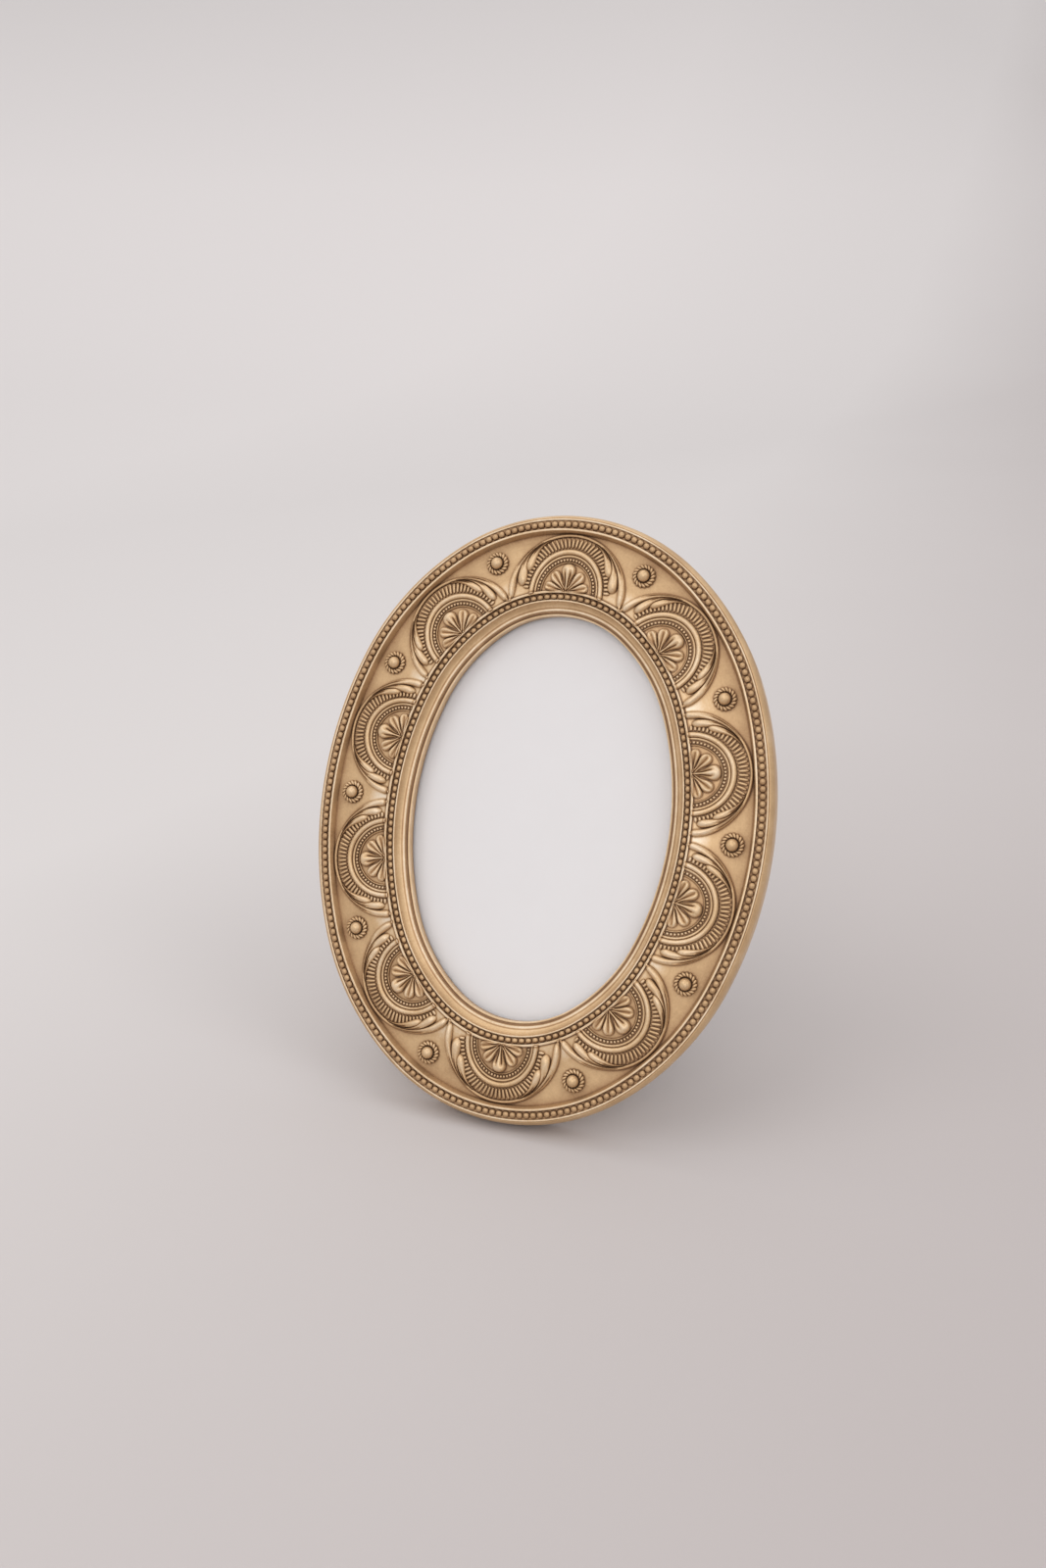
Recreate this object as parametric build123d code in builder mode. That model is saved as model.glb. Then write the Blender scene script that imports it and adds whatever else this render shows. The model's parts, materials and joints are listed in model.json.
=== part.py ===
from build123d import *
from math import asin, cos, degrees, pi, radians, sin, sqrt
import os

# Oval picture frame for a 10 x 15 cm print, standing on its easel leg.
# Row frame: X to the right, Y to the back, Z up, origin on the floor under the middle of the frame.
# The frame's own plane, called the board, leans back about X. In it u runs right, v up, w to the viewer.

# Stance
lean_angle = 23.74
leg_opening_angle = 30.6
ground_flat_depth = 0.6

# Oval through the rosettes, drawn as eight tangent arcs
oval_half_width = 70.6
oval_half_height = 94.4
side_arc_half_angle = 21.0
crown_arc_start_angle = 53.0

# Moulding section, widths from the sight edge outwards
sight_fillet_width = 0.8
second_fillet_width = 0.8
cove_width = 3.0
cove_fillet_width = 0.5
inner_channel_width = 2.4
inner_fillet_width = 0.8
field_inner_offset = 14.9
field_outer_offset = 5.2
step_run = 1.0
step_fillet_width = 0.7
outer_channel_width = 3.0
shoulder_fillet_width = 0.6
shoulder_width = 0.4
ovolo_width = 1.3
wall_draft = 0.8

# Moulding section, levels from the field at the rosettes to the viewer
field_inner_level = 1.05
field_outer_level = -0.6
inner_fillet_rise = 0.7
inner_channel_depth = 1.5
cove_fillet_drop = 0.65
cove_height = 2.5
second_fillet_drop = 0.35
sight_fillet_drop = 0.45
lip_thickness = 3.5
step_height = 2.5
outer_channel_depth = 0.9
shoulder_fillet_drop = 0.5
shoulder_drop = 0.3
ovolo_height = 3.6
inner_strand_radius = 0.95
outer_strand_radius = 1.05

# Rabbet behind the sight edge, and what it holds
rabbet_width = 5.0
pane_edge_gap = 0.5
glass_thickness = 2.0
insert_thickness = 0.3
backboard_thickness = 3.0

# Arches and rosettes, placed by shares of a quarter of the oval, from its top
arch_shares = (0.0, 0.4187, 0.8105)
rosette_shares = (0.2163, 0.621, 1.0)
arch_centre_inset = 0.4
arch_leg_overlap = 1.5
ornament_sink = 1.2
arch_rim_overlap = 0.15
arch_rim_width = 1.25
arch_rim_height = 1.2
rib_band_gap = 0.3
rib_band_width = 3.6
rib_band_height = 0.6
torus_gap = 0.4
torus_radius = 1.45
bead_arch_gap = 0.3
bead_arch_width = 1.2
bead_arch_height = 0.9
palmette_gap = 0.8
palmette_margin = 0.3
palmette_height = 1.1
palmette_taper = 24.0
petal_count = 5
petal_spread = 144.0
petal_half_width = 1.75
rosette_ball_radius = 2.45
rosette_ball_rise = 1.8
rosette_ring_radius = 3.1
rosette_ring_width = 1.3
rosette_ring_height = 0.9
rosette_ring_slope = 0.35

# Turn buttons and their screws
button_angles = (40.0, 140.0, 220.0, 320.0)
button_names = ("upper_right", "upper_left", "lower_left", "lower_right")
button_inset = 6.2
button_reach = 14.0
button_width = 8.0
button_thickness = 0.8
screw_shank_radius = 1.45
screw_length = 7.5
screw_head_radius = 3.0
screw_head_height = 1.7
screw_head_edge = 0.7

# Easel hinge, just below the hanger's strap
strap_leaf_gap = 0.4
hinge_width = 26.0
leaf_thickness = 0.8
board_leaf_length = 11.5
leg_leaf_length = 16.0
knuckle_radius = 1.6
centre_knuckle_width = 10.0
pin_radius = 0.8
heel_length = 5.5
heel_width = 8.0
pin_overhang = 0.5
leaf_corner_radius = 1.5
board_rivet_spacing = 18.0
board_rivet_rise = 7.0
leg_rivet_spacing = 16.0
leg_rivet_drop = 10.5
rivet_shank_radius = 1.2
rivet_head_radius = 2.1
rivet_head_height = 0.9

# Easel leg
leg_thickness = 3.0
leg_top_width = 30.0
leg_foot_width = 38.0
leg_top_gap = 0.7
leg_corner_radius = 5.0

# Hanger at the top of the backboard
hanger_edge_distance = 9.7
strap_width = 8.0
strap_length = 10.5
strap_thickness = 0.6
strap_corner_radius = 1.5
hanger_rivet_drop = 6.4
ring_wire_radius = 0.9
ring_width = 15.0
ring_height = 12.5
ring_corner_radius = 1.9

# Clearances, and the overrun of cuts
running_gap = 0.05
face_gap = 0.05
knuckle_side_gap = 0.2
overrun = 2.0

# The eight arcs. The middle arcs have the mean radius of curvature of the oval, and the others close it.
flank_radius = sqrt(oval_half_width * oval_half_height)
side_cos = cos(radians(side_arc_half_angle))
side_sin = sin(radians(side_arc_half_angle))
crown_cos = cos(radians(crown_arc_start_angle))
crown_sin = sin(radians(crown_arc_start_angle))
width_left = flank_radius * (side_cos - crown_cos) - oval_half_width
height_left = flank_radius * (side_sin - crown_sin) + oval_half_height
determinant = (side_cos - 1) * (1 - crown_sin) + crown_cos * side_sin
side_radius = (width_left * (1 - crown_sin) + crown_cos * height_left) / determinant
crown_radius = ((side_cos - 1) * height_left - side_sin * width_left) / determinant
side_centre = (oval_half_width - side_radius, 0)
crown_centre = (0, oval_half_height - crown_radius)
flank_centre = (
    side_centre[0] + (side_radius - flank_radius) * side_cos,
    (side_radius - flank_radius) * side_sin,
)
flank_sweep = crown_arc_start_angle - side_arc_half_angle
crown_half_angle = 90 - crown_arc_start_angle
crown_length = crown_radius * radians(crown_half_angle)
flank_length = flank_radius * radians(flank_sweep)
side_length = side_radius * radians(side_arc_half_angle)
quarter_length = crown_length + flank_length + side_length


def oval_point(normal_angle, offset=0):
    """Point of the oval where its outward normal has this angle, moved outwards by the offset."""
    right = cos(radians(normal_angle))
    up = sin(radians(normal_angle))
    folded_angle = degrees(asin(min(abs(up), 1)))
    if folded_angle <= side_arc_half_angle:
        centre, radius = side_centre, side_radius
    elif folded_angle < crown_arc_start_angle:
        centre, radius = flank_centre, flank_radius
    else:
        centre, radius = crown_centre, crown_radius
    u = (centre[0] + (radius + offset) * abs(right)) * (1 if right >= 0 else -1)
    v = (centre[1] + (radius + offset) * abs(up)) * (1 if up >= 0 else -1)
    return u, v


def draw_oval(offset):
    """Draw the closed oval at this distance outside the rosette line, into the open line block."""
    side, flank, crown = (radius + offset for radius in (side_radius, flank_radius, crown_radius))
    crown_turn = 2 * crown_half_angle
    side_turn = 2 * side_arc_half_angle
    CenterArc(side_centre, side, -side_arc_half_angle, side_turn)
    CenterArc(flank_centre, flank, side_arc_half_angle, flank_sweep)
    CenterArc(crown_centre, crown, crown_arc_start_angle, crown_turn)
    CenterArc((-flank_centre[0], flank_centre[1]), flank, 180 - crown_arc_start_angle, flank_sweep)
    CenterArc((-side_centre[0], 0), side, 180 - side_arc_half_angle, side_turn)
    CenterArc((-flank_centre[0], -flank_centre[1]), flank, 180 + side_arc_half_angle, flank_sweep)
    CenterArc((0, -crown_centre[1]), crown, 180 + crown_arc_start_angle, crown_turn)
    CenterArc((flank_centre[0], -flank_centre[1]), flank, 360 - crown_arc_start_angle, flank_sweep)


def normal_angles(share):
    """Angles of the outward normal at the places with this share of a quarter from the top or bottom."""
    length = share * quarter_length
    if length <= crown_length:
        angle = 90 - degrees(length / crown_radius)
    elif length <= crown_length + flank_length:
        angle = crown_arc_start_angle - degrees((length - crown_length) / flank_radius)
    else:
        angle = degrees((quarter_length - length) / side_radius)
    if share == 0:
        return [90, 270]
    if share == 1:
        return [0, 180]
    return [angle, 180 - angle, 180 + angle, 360 - angle]


# Places in the section, outwards from the rosette line. The strands lie in the middle of their channels.
inner_fillet_inner = -field_inner_offset - inner_fillet_width
inner_channel_inner = inner_fillet_inner - inner_channel_width
cove_outer = inner_channel_inner - cove_fillet_width
cove_inner = cove_outer - cove_width
second_fillet_inner = cove_inner - second_fillet_width
sight_edge = second_fillet_inner - sight_fillet_width
step_top = field_outer_offset + step_run
outer_channel_inner = step_top + step_fillet_width
outer_channel_outer = outer_channel_inner + outer_channel_width
shoulder_inner = outer_channel_outer + shoulder_fillet_width
shoulder_outer = shoulder_inner + shoulder_width
outer_edge = shoulder_outer + ovolo_width
back_edge = outer_edge - wall_draft
inner_strand_offset = inner_fillet_inner - inner_channel_width / 2
outer_strand_offset = outer_channel_inner + outer_channel_width / 2

# Levels in the section
inner_fillet_level = field_inner_level + inner_fillet_rise
inner_channel_level = inner_fillet_level - inner_channel_depth
cove_fillet_level = inner_fillet_level - cove_fillet_drop
quirk_level = cove_fillet_level - cove_height
second_fillet_level = quirk_level - second_fillet_drop
sight_fillet_level = second_fillet_level - sight_fillet_drop
step_level = field_outer_level + step_height
outer_channel_level = step_level - outer_channel_depth
shoulder_fillet_level = step_level - shoulder_fillet_drop
shoulder_level = shoulder_fillet_level - shoulder_drop
ovolo_level = shoulder_level - ovolo_height
lip_level = sight_fillet_level - lip_thickness
rabbet_wall = sight_edge + rabbet_width
pane_edge = rabbet_wall - pane_edge_gap
glass_back_level = lip_level - glass_thickness
insert_back_level = glass_back_level - insert_thickness
back_level = insert_back_level - backboard_thickness
field_slope = (field_inner_level - field_outer_level) / (field_inner_offset + field_outer_offset)

# Heights on the back, down from the backboard's upper edge
hanger_height = oval_half_height + pane_edge - hanger_edge_distance
hinge_height = hanger_height - strap_length - strap_leaf_gap - board_leaf_length

# Where the board stands: its lowest corner is cut flat on the floor, and the origin is under its middle.
lean_sin = sin(radians(lean_angle))
lean_cos = cos(radians(lean_angle))
corner_reach = oval_half_height + back_edge
board_height = corner_reach * lean_cos - back_level * lean_sin - ground_flat_depth
front_reach = (oval_half_height + shoulder_inner) * lean_sin + shoulder_fillet_level * lean_cos
rear_reach = corner_reach * lean_sin - back_level * lean_cos
board_depth = (front_reach - rear_reach) / 2
board = Plane(origin=(0, board_depth, board_height), x_dir=(1, 0, 0), z_dir=(0, -lean_cos, lean_sin))


def on_board(origin, x_dir=(1, 0, 0), z_dir=(0, 0, 1)):
    """A plane whose origin and directions are given in the board's own axes."""
    return Plane(board.location * Plane(origin=origin, x_dir=x_dir, z_dir=z_dir).location)


def field_seat(normal_angle, offset):
    """Place on the sloping field in the board's axes, x along the moulding and y outwards."""
    u, v = oval_point(normal_angle, offset)
    level = field_inner_level - field_slope * (offset + field_inner_offset)
    right = cos(radians(normal_angle))
    up = sin(radians(normal_angle))
    normal = (field_slope * right, field_slope * up, 1)
    return Plane(origin=(u, v, level), x_dir=(up, -right, 0), z_dir=normal).location


# One arch: plain rim, band for the ribs, round moulding, bead line and a palmette of tapered petals. Its rim
# runs into the step of the moulding, and its legs into the inner fillet, also where the oval turns most.
arch_centre_offset = -field_inner_offset - arch_centre_inset
arch_rim_radius = field_outer_offset - arch_centre_offset + arch_rim_overlap
rim_inner_radius = arch_rim_radius - arch_rim_width
rib_band_outer_radius = rim_inner_radius - rib_band_gap
rib_band_inner_radius = rib_band_outer_radius - rib_band_width
torus_centre_radius = rib_band_inner_radius - torus_gap - torus_radius
bead_arch_outer_radius = torus_centre_radius - torus_radius - bead_arch_gap
bead_arch_inner_radius = bead_arch_outer_radius - bead_arch_width
palmette_radius = bead_arch_inner_radius - palmette_gap
palmette_ground_radius = palmette_radius + palmette_margin
inner_crown_radius = crown_radius + arch_centre_offset
crown_drop = inner_crown_radius - sqrt(inner_crown_radius**2 - arch_rim_radius**2)
arch_leg_drop = crown_drop + arch_leg_overlap
petal_step = petal_spread / (petal_count - 1)
petal_root = petal_half_width
petal_middle = (petal_root + palmette_radius) / 2


def draw_stilted_ring(outer, inner):
    """Draw a half ring whose ends run straight down, into the open line block."""
    for side in (1, -1):
        Polyline((side * outer, 0), (side * outer, -arch_leg_drop), (side * inner, -arch_leg_drop),
                 (side * inner, 0))
    CenterArc((0, 0), outer, 0, 180)
    CenterArc((0, 0), inner, 0, 180)


with BuildPart() as arch:
    raised_rings = (
        (arch_rim_radius, rim_inner_radius, arch_rim_height),
        (rib_band_outer_radius, rib_band_inner_radius, rib_band_height),
        (bead_arch_outer_radius, bead_arch_inner_radius, bead_arch_height),
    )
    for ring_outer, ring_inner, ring_rise in raised_rings:
        with BuildSketch(Plane.XY.offset(-ornament_sink)):
            with BuildLine():
                draw_stilted_ring(ring_outer, ring_inner)
            make_face()
        extrude(amount=ring_rise + ornament_sink)
    with BuildLine() as torus_path:
        first_leg = Line((torus_centre_radius, -arch_leg_drop), (torus_centre_radius, 0))
        torus_crown = CenterArc((0, 0), torus_centre_radius, 0, 180)
        Line(torus_crown @ 1, (-torus_centre_radius, -arch_leg_drop))
    with BuildSketch(Plane(first_leg @ 0, z_dir=first_leg % 0)):
        Circle(torus_radius)
    sweep(path=torus_path.line)
    for petal in range(petal_count):
        petal_angle = 90 - petal_spread / 2 + petal * petal_step
        with BuildSketch(Plane.XY.rotated((0, 0, petal_angle))):
            with BuildLine():
                ThreePointArc((petal_root, 0), (petal_middle, -petal_half_width), (palmette_radius, 0))
                ThreePointArc((palmette_radius, 0), (petal_middle, petal_half_width), (petal_root, 0))
            make_face()
        extrude(amount=palmette_height, taper=palmette_taper)
    with BuildSketch(Plane.XY.offset(-ornament_sink)):
        with BuildLine():
            CenterArc((0, 0), palmette_ground_radius, 0, 180)
            Polyline((palmette_ground_radius, 0), (palmette_ground_radius, -arch_leg_drop),
                     (-palmette_ground_radius, -arch_leg_drop), (-palmette_ground_radius, 0))
        make_face()
    extrude(amount=ornament_sink + palmette_height / 6)

# One rosette: a ball in a ring
with BuildPart() as rosette:
    with BuildSketch(Plane.XZ):
        with BuildLine():
            Polyline(
                (0, -ornament_sink),
                (rosette_ring_radius + rosette_ring_width / 2, -ornament_sink),
                (rosette_ring_radius + rosette_ring_width / 2, rosette_ring_height - rosette_ring_slope),
                (rosette_ring_radius + rosette_ring_slope / 2, rosette_ring_height),
                (rosette_ring_radius - rosette_ring_slope / 2, rosette_ring_height),
                (rosette_ring_radius - rosette_ring_width / 2, 0),
                (0, 0),
                close=True,
            )
        make_face()
    revolve(axis=Axis.Z)
    with Locations((0, 0, rosette_ball_rise)):
        Sphere(rosette_ball_radius)

# All arches and rosettes in their places, trimmed where the inner fillet covers them
with BuildPart() as ornament:
    for arch_share in arch_shares:
        for angle in normal_angles(arch_share):
            with Locations(field_seat(angle, arch_centre_offset)):
                add(arch.part)
    with BuildSketch(Plane.XY.offset(-field_inner_offset)):
        with BuildLine():
            draw_oval(-field_inner_offset - inner_fillet_width / 2)
        make_face()
    extrude(amount=2 * field_inner_offset, mode=Mode.SUBTRACT)
    for rosette_share in rosette_shares:
        for angle in normal_angles(rosette_share):
            with Locations(field_seat(angle, 0)):
                add(rosette.part)

# Cast moulding with its rabbet, ornament, screw holes and ground flat
start_angle = -side_arc_half_angle
start_u, start_v = oval_point(start_angle)
section_plane = on_board(
    (start_u, start_v, 0),
    (cos(radians(start_angle)), sin(radians(start_angle)), 0),
    (sin(radians(start_angle)), -cos(radians(start_angle)), 0),
)
cove_sag = cove_width / 4
with BuildPart(board) as frame_moulding:
    with BuildLine(board) as rosette_line:
        draw_oval(0)
    with BuildSketch(section_plane) as section:
        with BuildLine():
            Polyline(
                (cove_inner, second_fillet_level),
                (second_fillet_inner, second_fillet_level),
                (second_fillet_inner, sight_fillet_level),
                (sight_edge, sight_fillet_level),
                (sight_edge, lip_level),
                (rabbet_wall, lip_level),
                (rabbet_wall, back_level),
                (back_edge, back_level),
                (outer_edge, ovolo_level),
            )
            TangentArc((outer_edge, ovolo_level), (shoulder_outer, shoulder_level), tangent=(0, 1))
            Polyline(
                (shoulder_outer, shoulder_level),
                (shoulder_inner, shoulder_level),
                (shoulder_inner, shoulder_fillet_level),
                (outer_channel_outer, shoulder_fillet_level),
                (outer_channel_outer, outer_channel_level),
                (outer_channel_inner, outer_channel_level),
                (outer_channel_inner, step_level),
                (step_top, step_level),
                (field_outer_offset, field_outer_level),
                (-field_inner_offset, field_inner_level),
                (-field_inner_offset, inner_fillet_level),
                (inner_fillet_inner, inner_fillet_level),
                (inner_fillet_inner, inner_channel_level),
                (inner_channel_inner, inner_channel_level),
                (inner_channel_inner, cove_fillet_level),
                (cove_outer, cove_fillet_level),
            )
            SagittaArc((cove_outer, cove_fillet_level), (cove_inner, quirk_level), cove_sag)
            Line((cove_inner, quirk_level), (cove_inner, second_fillet_level))
        make_face()
        with Locations((inner_strand_offset, inner_channel_level)):
            Circle(inner_strand_radius)
        with Locations((outer_strand_offset, outer_channel_level)):
            Circle(outer_strand_radius)
    sweep(path=rosette_line.line)
    add(ornament.part)
    for angle in button_angles:
        screw_u, screw_v = oval_point(angle, rabbet_wall + button_inset)
        with BuildSketch(on_board((screw_u, screw_v, back_level))):
            Circle(screw_shank_radius + running_gap)
        extrude(amount=screw_length + running_gap, mode=Mode.SUBTRACT)
    split(bisect_by=Plane.XY, keep=Keep.TOP)

# What lies in the rabbet: the pane, the bare paper and the backboard with its rivet holes
with BuildPart(board) as glass_pane:
    with BuildSketch(board.offset(glass_back_level)):
        with BuildLine():
            draw_oval(pane_edge)
        make_face()
    extrude(amount=glass_thickness)

with BuildPart(board) as photo_insert:
    with BuildSketch(board.offset(insert_back_level)):
        with BuildLine():
            draw_oval(pane_edge)
        make_face()
    extrude(amount=insert_thickness)

# Seen from behind: x to the viewer's right, y up the board, z out of its back
back = on_board((0, 0, back_level), (-1, 0, 0), (0, 0, -1))
board_rivet_places = [
    (side * board_rivet_spacing / 2, hinge_height + board_rivet_rise) for side in (1, -1)
]
hanger_rivet_place = (0, hanger_height - hanger_rivet_drop)

with BuildPart(board) as backboard:
    with BuildSketch(board.offset(back_level)):
        with BuildLine():
            draw_oval(pane_edge)
        make_face()
    extrude(amount=backboard_thickness)
    with BuildSketch(back):
        with Locations(*board_rivet_places, hanger_rivet_place):
            Circle(rivet_shank_radius + running_gap)
    extrude(amount=-backboard_thickness, mode=Mode.SUBTRACT)


def make_rivet(shank_length):
    """A rivet whose domed head sits on z = 0, with its shank below."""
    with BuildPart() as rivet:
        with BuildSketch(Plane.XZ):
            with BuildLine():
                TangentArc((0, rivet_head_height), (rivet_head_radius, 0), tangent=(1, 0))
                Polyline(
                    (rivet_head_radius, 0),
                    (rivet_shank_radius, 0),
                    (rivet_shank_radius, -shank_length),
                    (0, -shank_length),
                    (0, rivet_head_height),
                )
            make_face()
        revolve(axis=Axis.Z)
    return rivet.part


# Hinge: the pin's axis stands off the back, and the heel of the leg's leaf lands on the board's leaf.
hinge_level = back_level - face_gap - knuckle_radius
outer_knuckle_start = centre_knuckle_width / 2 + knuckle_side_gap
outer_knuckle_width = hinge_width / 2 - outer_knuckle_start
knuckle_clear = knuckle_radius + knuckle_side_gap
pin_bore_radius = pin_radius + running_gap
leg_lean = radians(leg_opening_angle - lean_angle)
hinge_point = board.from_local_coords((0, hinge_height, hinge_level))
leg_plane = Plane(origin=hinge_point, x_dir=(-1, 0, 0), z_dir=(0, cos(leg_lean), sin(leg_lean)))
leg_length = hinge_point.Z / cos(leg_lean)

with BuildPart(back) as hinge_board_leaf:
    with BuildSketch(back) as board_leaf_outline:
        with Locations((0, hinge_height)):
            Rectangle(hinge_width, board_leaf_length, align=(Align.CENTER, Align.MIN))
        fillet(board_leaf_outline.vertices().group_by(Axis.Y)[-1], leaf_corner_radius)
        with Locations((0, hinge_height)):
            Rectangle(2 * outer_knuckle_start, knuckle_clear, align=(Align.CENTER, Align.MIN),
                      mode=Mode.SUBTRACT)
    extrude(amount=leaf_thickness)
    for side in (1, -1):
        with BuildSketch(on_board((side * outer_knuckle_start, hinge_height, hinge_level), (0, 1, 0),
                                  (side, 0, 0))):
            Circle(knuckle_radius)
        extrude(amount=outer_knuckle_width)
    with BuildSketch(on_board((0, hinge_height, hinge_level), (0, 1, 0), (1, 0, 0))):
        Circle(pin_bore_radius)
    extrude(amount=hinge_width, both=True, mode=Mode.SUBTRACT)
    with BuildSketch(back):
        with Locations(*board_rivet_places):
            Circle(rivet_shank_radius + running_gap)
    extrude(amount=leaf_thickness, mode=Mode.SUBTRACT)

leg_rivet_places = [(side * leg_rivet_spacing / 2, -leg_rivet_drop) for side in (1, -1)]
leg_leaf_level = -knuckle_radius
leg_front_level = leg_leaf_level + leaf_thickness
leg_back_level = leg_front_level + leg_thickness

with BuildPart(leg_plane) as hinge_leg_leaf:
    with BuildSketch(leg_plane.offset(leg_leaf_level)) as leg_leaf_outline:
        with Locations((0, -leg_leaf_length)):
            Rectangle(hinge_width, leg_leaf_length - knuckle_clear, align=(Align.CENTER, Align.MIN))
        fillet(leg_leaf_outline.vertices().group_by(Axis.Y)[0], leaf_corner_radius)
        with Locations((0, -knuckle_clear)):
            Rectangle(centre_knuckle_width, knuckle_clear, align=(Align.CENTER, Align.MIN))
    extrude(amount=leaf_thickness)
    with BuildSketch(back.offset(leaf_thickness + face_gap)):
        with Locations((0, hinge_height)):
            Rectangle(heel_width, heel_length, align=(Align.CENTER, Align.MIN))
    extrude(amount=leaf_thickness)
    with BuildSketch(on_board((0, hinge_height, hinge_level), (0, 1, 0), (1, 0, 0))):
        Circle(knuckle_radius)
    extrude(amount=centre_knuckle_width / 2, both=True)
    with BuildSketch(on_board((0, hinge_height, hinge_level), (0, 1, 0), (1, 0, 0))):
        Circle(pin_bore_radius)
    extrude(amount=hinge_width, both=True, mode=Mode.SUBTRACT)
    with BuildSketch(leg_plane.offset(leg_leaf_level)):
        with Locations(*leg_rivet_places):
            Circle(rivet_shank_radius + running_gap)
    extrude(amount=leaf_thickness, mode=Mode.SUBTRACT)

with BuildPart() as hinge_pin:
    with BuildSketch(on_board((0, hinge_height, hinge_level), (0, 1, 0), (1, 0, 0))):
        Circle(pin_radius)
    extrude(amount=hinge_width / 2 + pin_overhang, both=True)

with BuildPart(leg_plane) as easel_leg:
    with BuildSketch(leg_plane.offset(leg_front_level)) as leg_outline:
        leg_top = -knuckle_radius - leg_top_gap
        with BuildLine():
            Polyline(
                (leg_top_width / 2, leg_top),
                (leg_foot_width / 2, -leg_length - overrun),
                (-leg_foot_width / 2, -leg_length - overrun),
                (-leg_top_width / 2, leg_top),
                close=True,
            )
        make_face()
        fillet(leg_outline.vertices().group_by(Axis.Y)[-1], leg_corner_radius)
        with Locations(*leg_rivet_places):
            Circle(rivet_shank_radius + running_gap, mode=Mode.SUBTRACT)
    extrude(amount=leg_thickness)
    split(bisect_by=Plane.XY, keep=Keep.TOP)

with BuildPart(back.offset(leaf_thickness)) as hinge_board_rivets:
    with Locations(*board_rivet_places):
        add(make_rivet(leaf_thickness + backboard_thickness))

with BuildPart(leg_plane.offset(leg_back_level)) as hinge_leg_rivets:
    with Locations(*leg_rivet_places):
        add(make_rivet(leg_thickness + leaf_thickness))

# Turn buttons, each free round its screw
button_level = back_level - face_gap
buttons = {}
for angle, button_name in zip(button_angles, button_names):
    button_u, button_v = oval_point(angle, rabbet_wall + button_inset)
    inward = (-cos(radians(angle)), -sin(radians(angle)), 0)
    button_plane = on_board((button_u, button_v, button_level), inward, (0, 0, -1))
    slot_length = button_reach - button_width / 2
    with BuildPart(button_plane) as button:
        with BuildSketch(button_plane):
            with Locations((slot_length / 2, 0)):
                SlotCenterToCenter(slot_length, button_width)
            Circle(screw_shank_radius + running_gap, mode=Mode.SUBTRACT)
        extrude(amount=button_thickness)
    buttons["turn_button_" + button_name] = button.part

screw_seat = 2 * face_gap + button_thickness
with BuildPart() as screw:
    with BuildSketch(Plane.XZ):
        with BuildLine():
            Polyline(
                (0, screw_head_height),
                (0, -screw_length - screw_seat),
                (screw_shank_radius, screw_shank_radius - screw_length - screw_seat),
                (screw_shank_radius, 0),
                (screw_head_radius, 0),
                (screw_head_radius, screw_head_edge),
            )
            TangentArc((0, screw_head_height), (screw_head_radius, screw_head_edge), tangent=(1, 0))
        make_face()
    revolve(axis=Axis.Z)

with BuildPart(back.offset(screw_seat)) as turn_button_screws:
    for angle in button_angles:
        screw_u, screw_v = oval_point(angle, rabbet_wall + button_inset)
        with Locations((-screw_u, screw_v)):
            add(screw.part)

# Hanger: a folded strap with a loop at its top, and a wire ring that hangs plumb in the loop
loop_inner_radius = ring_wire_radius + running_gap
loop_outer_radius = loop_inner_radius + strap_thickness
tail_thickness = 2 * strap_thickness
hanger_level = back_level - loop_outer_radius
hanger_point = board.from_local_coords((0, hanger_height, hanger_level))
hanger_side = on_board((0, hanger_height, hanger_level), (0, 1, 0), (1, 0, 0))

with BuildPart(hanger_side) as hanger_strap:
    with BuildSketch(hanger_side):
        Circle(loop_outer_radius)
        with Locations((-strap_length, loop_outer_radius)):
            Rectangle(strap_length, tail_thickness, align=(Align.MIN, Align.MAX))
        Circle(loop_inner_radius, mode=Mode.SUBTRACT)
    extrude(amount=strap_width / 2, both=True)
    tail_end = hanger_strap.edges().filter_by(Axis((0, 0, 0), board.z_dir)).sort_by(Axis.Z)[:2]
    fillet(tail_end, strap_corner_radius)
    with BuildSketch(back):
        with Locations(hanger_rivet_place):
            Circle(rivet_shank_radius + running_gap)
    extrude(amount=tail_thickness, mode=Mode.SUBTRACT)

with BuildPart(back.offset(tail_thickness)) as hanger_rivet:
    with Locations(hanger_rivet_place):
        add(make_rivet(tail_thickness + backboard_thickness))

ring_plane = Plane(origin=hanger_point, x_dir=(1, 0, 0), z_dir=(0, -1, 0))
with BuildPart(ring_plane) as hanger_ring:
    with BuildLine(ring_plane) as ring_line:
        FilletPolyline(
            (ring_width / 2, 0),
            (0, -ring_height),
            (-ring_width / 2, 0),
            close=True,
            radius=ring_corner_radius,
        )
    ring_path = ring_line.wire()
    with BuildSketch(Plane(ring_path @ 0, z_dir=ring_path % 0)):
        Circle(ring_wire_radius)
    sweep(path=ring_path)

# Checks of the swept volumes, then one file for each piece
print("moulding box", frame_moulding.part.bounding_box())
print("leg length", round(leg_length, 2), "leg lean", round(degrees(leg_lean), 2))
print("ring volume", round(hanger_ring.part.volume, 2),
      "section times length", round(pi * ring_wire_radius**2 * ring_path.length, 2))
print("hinge axis", hinge_point, "hanger axis", hanger_point)

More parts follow.
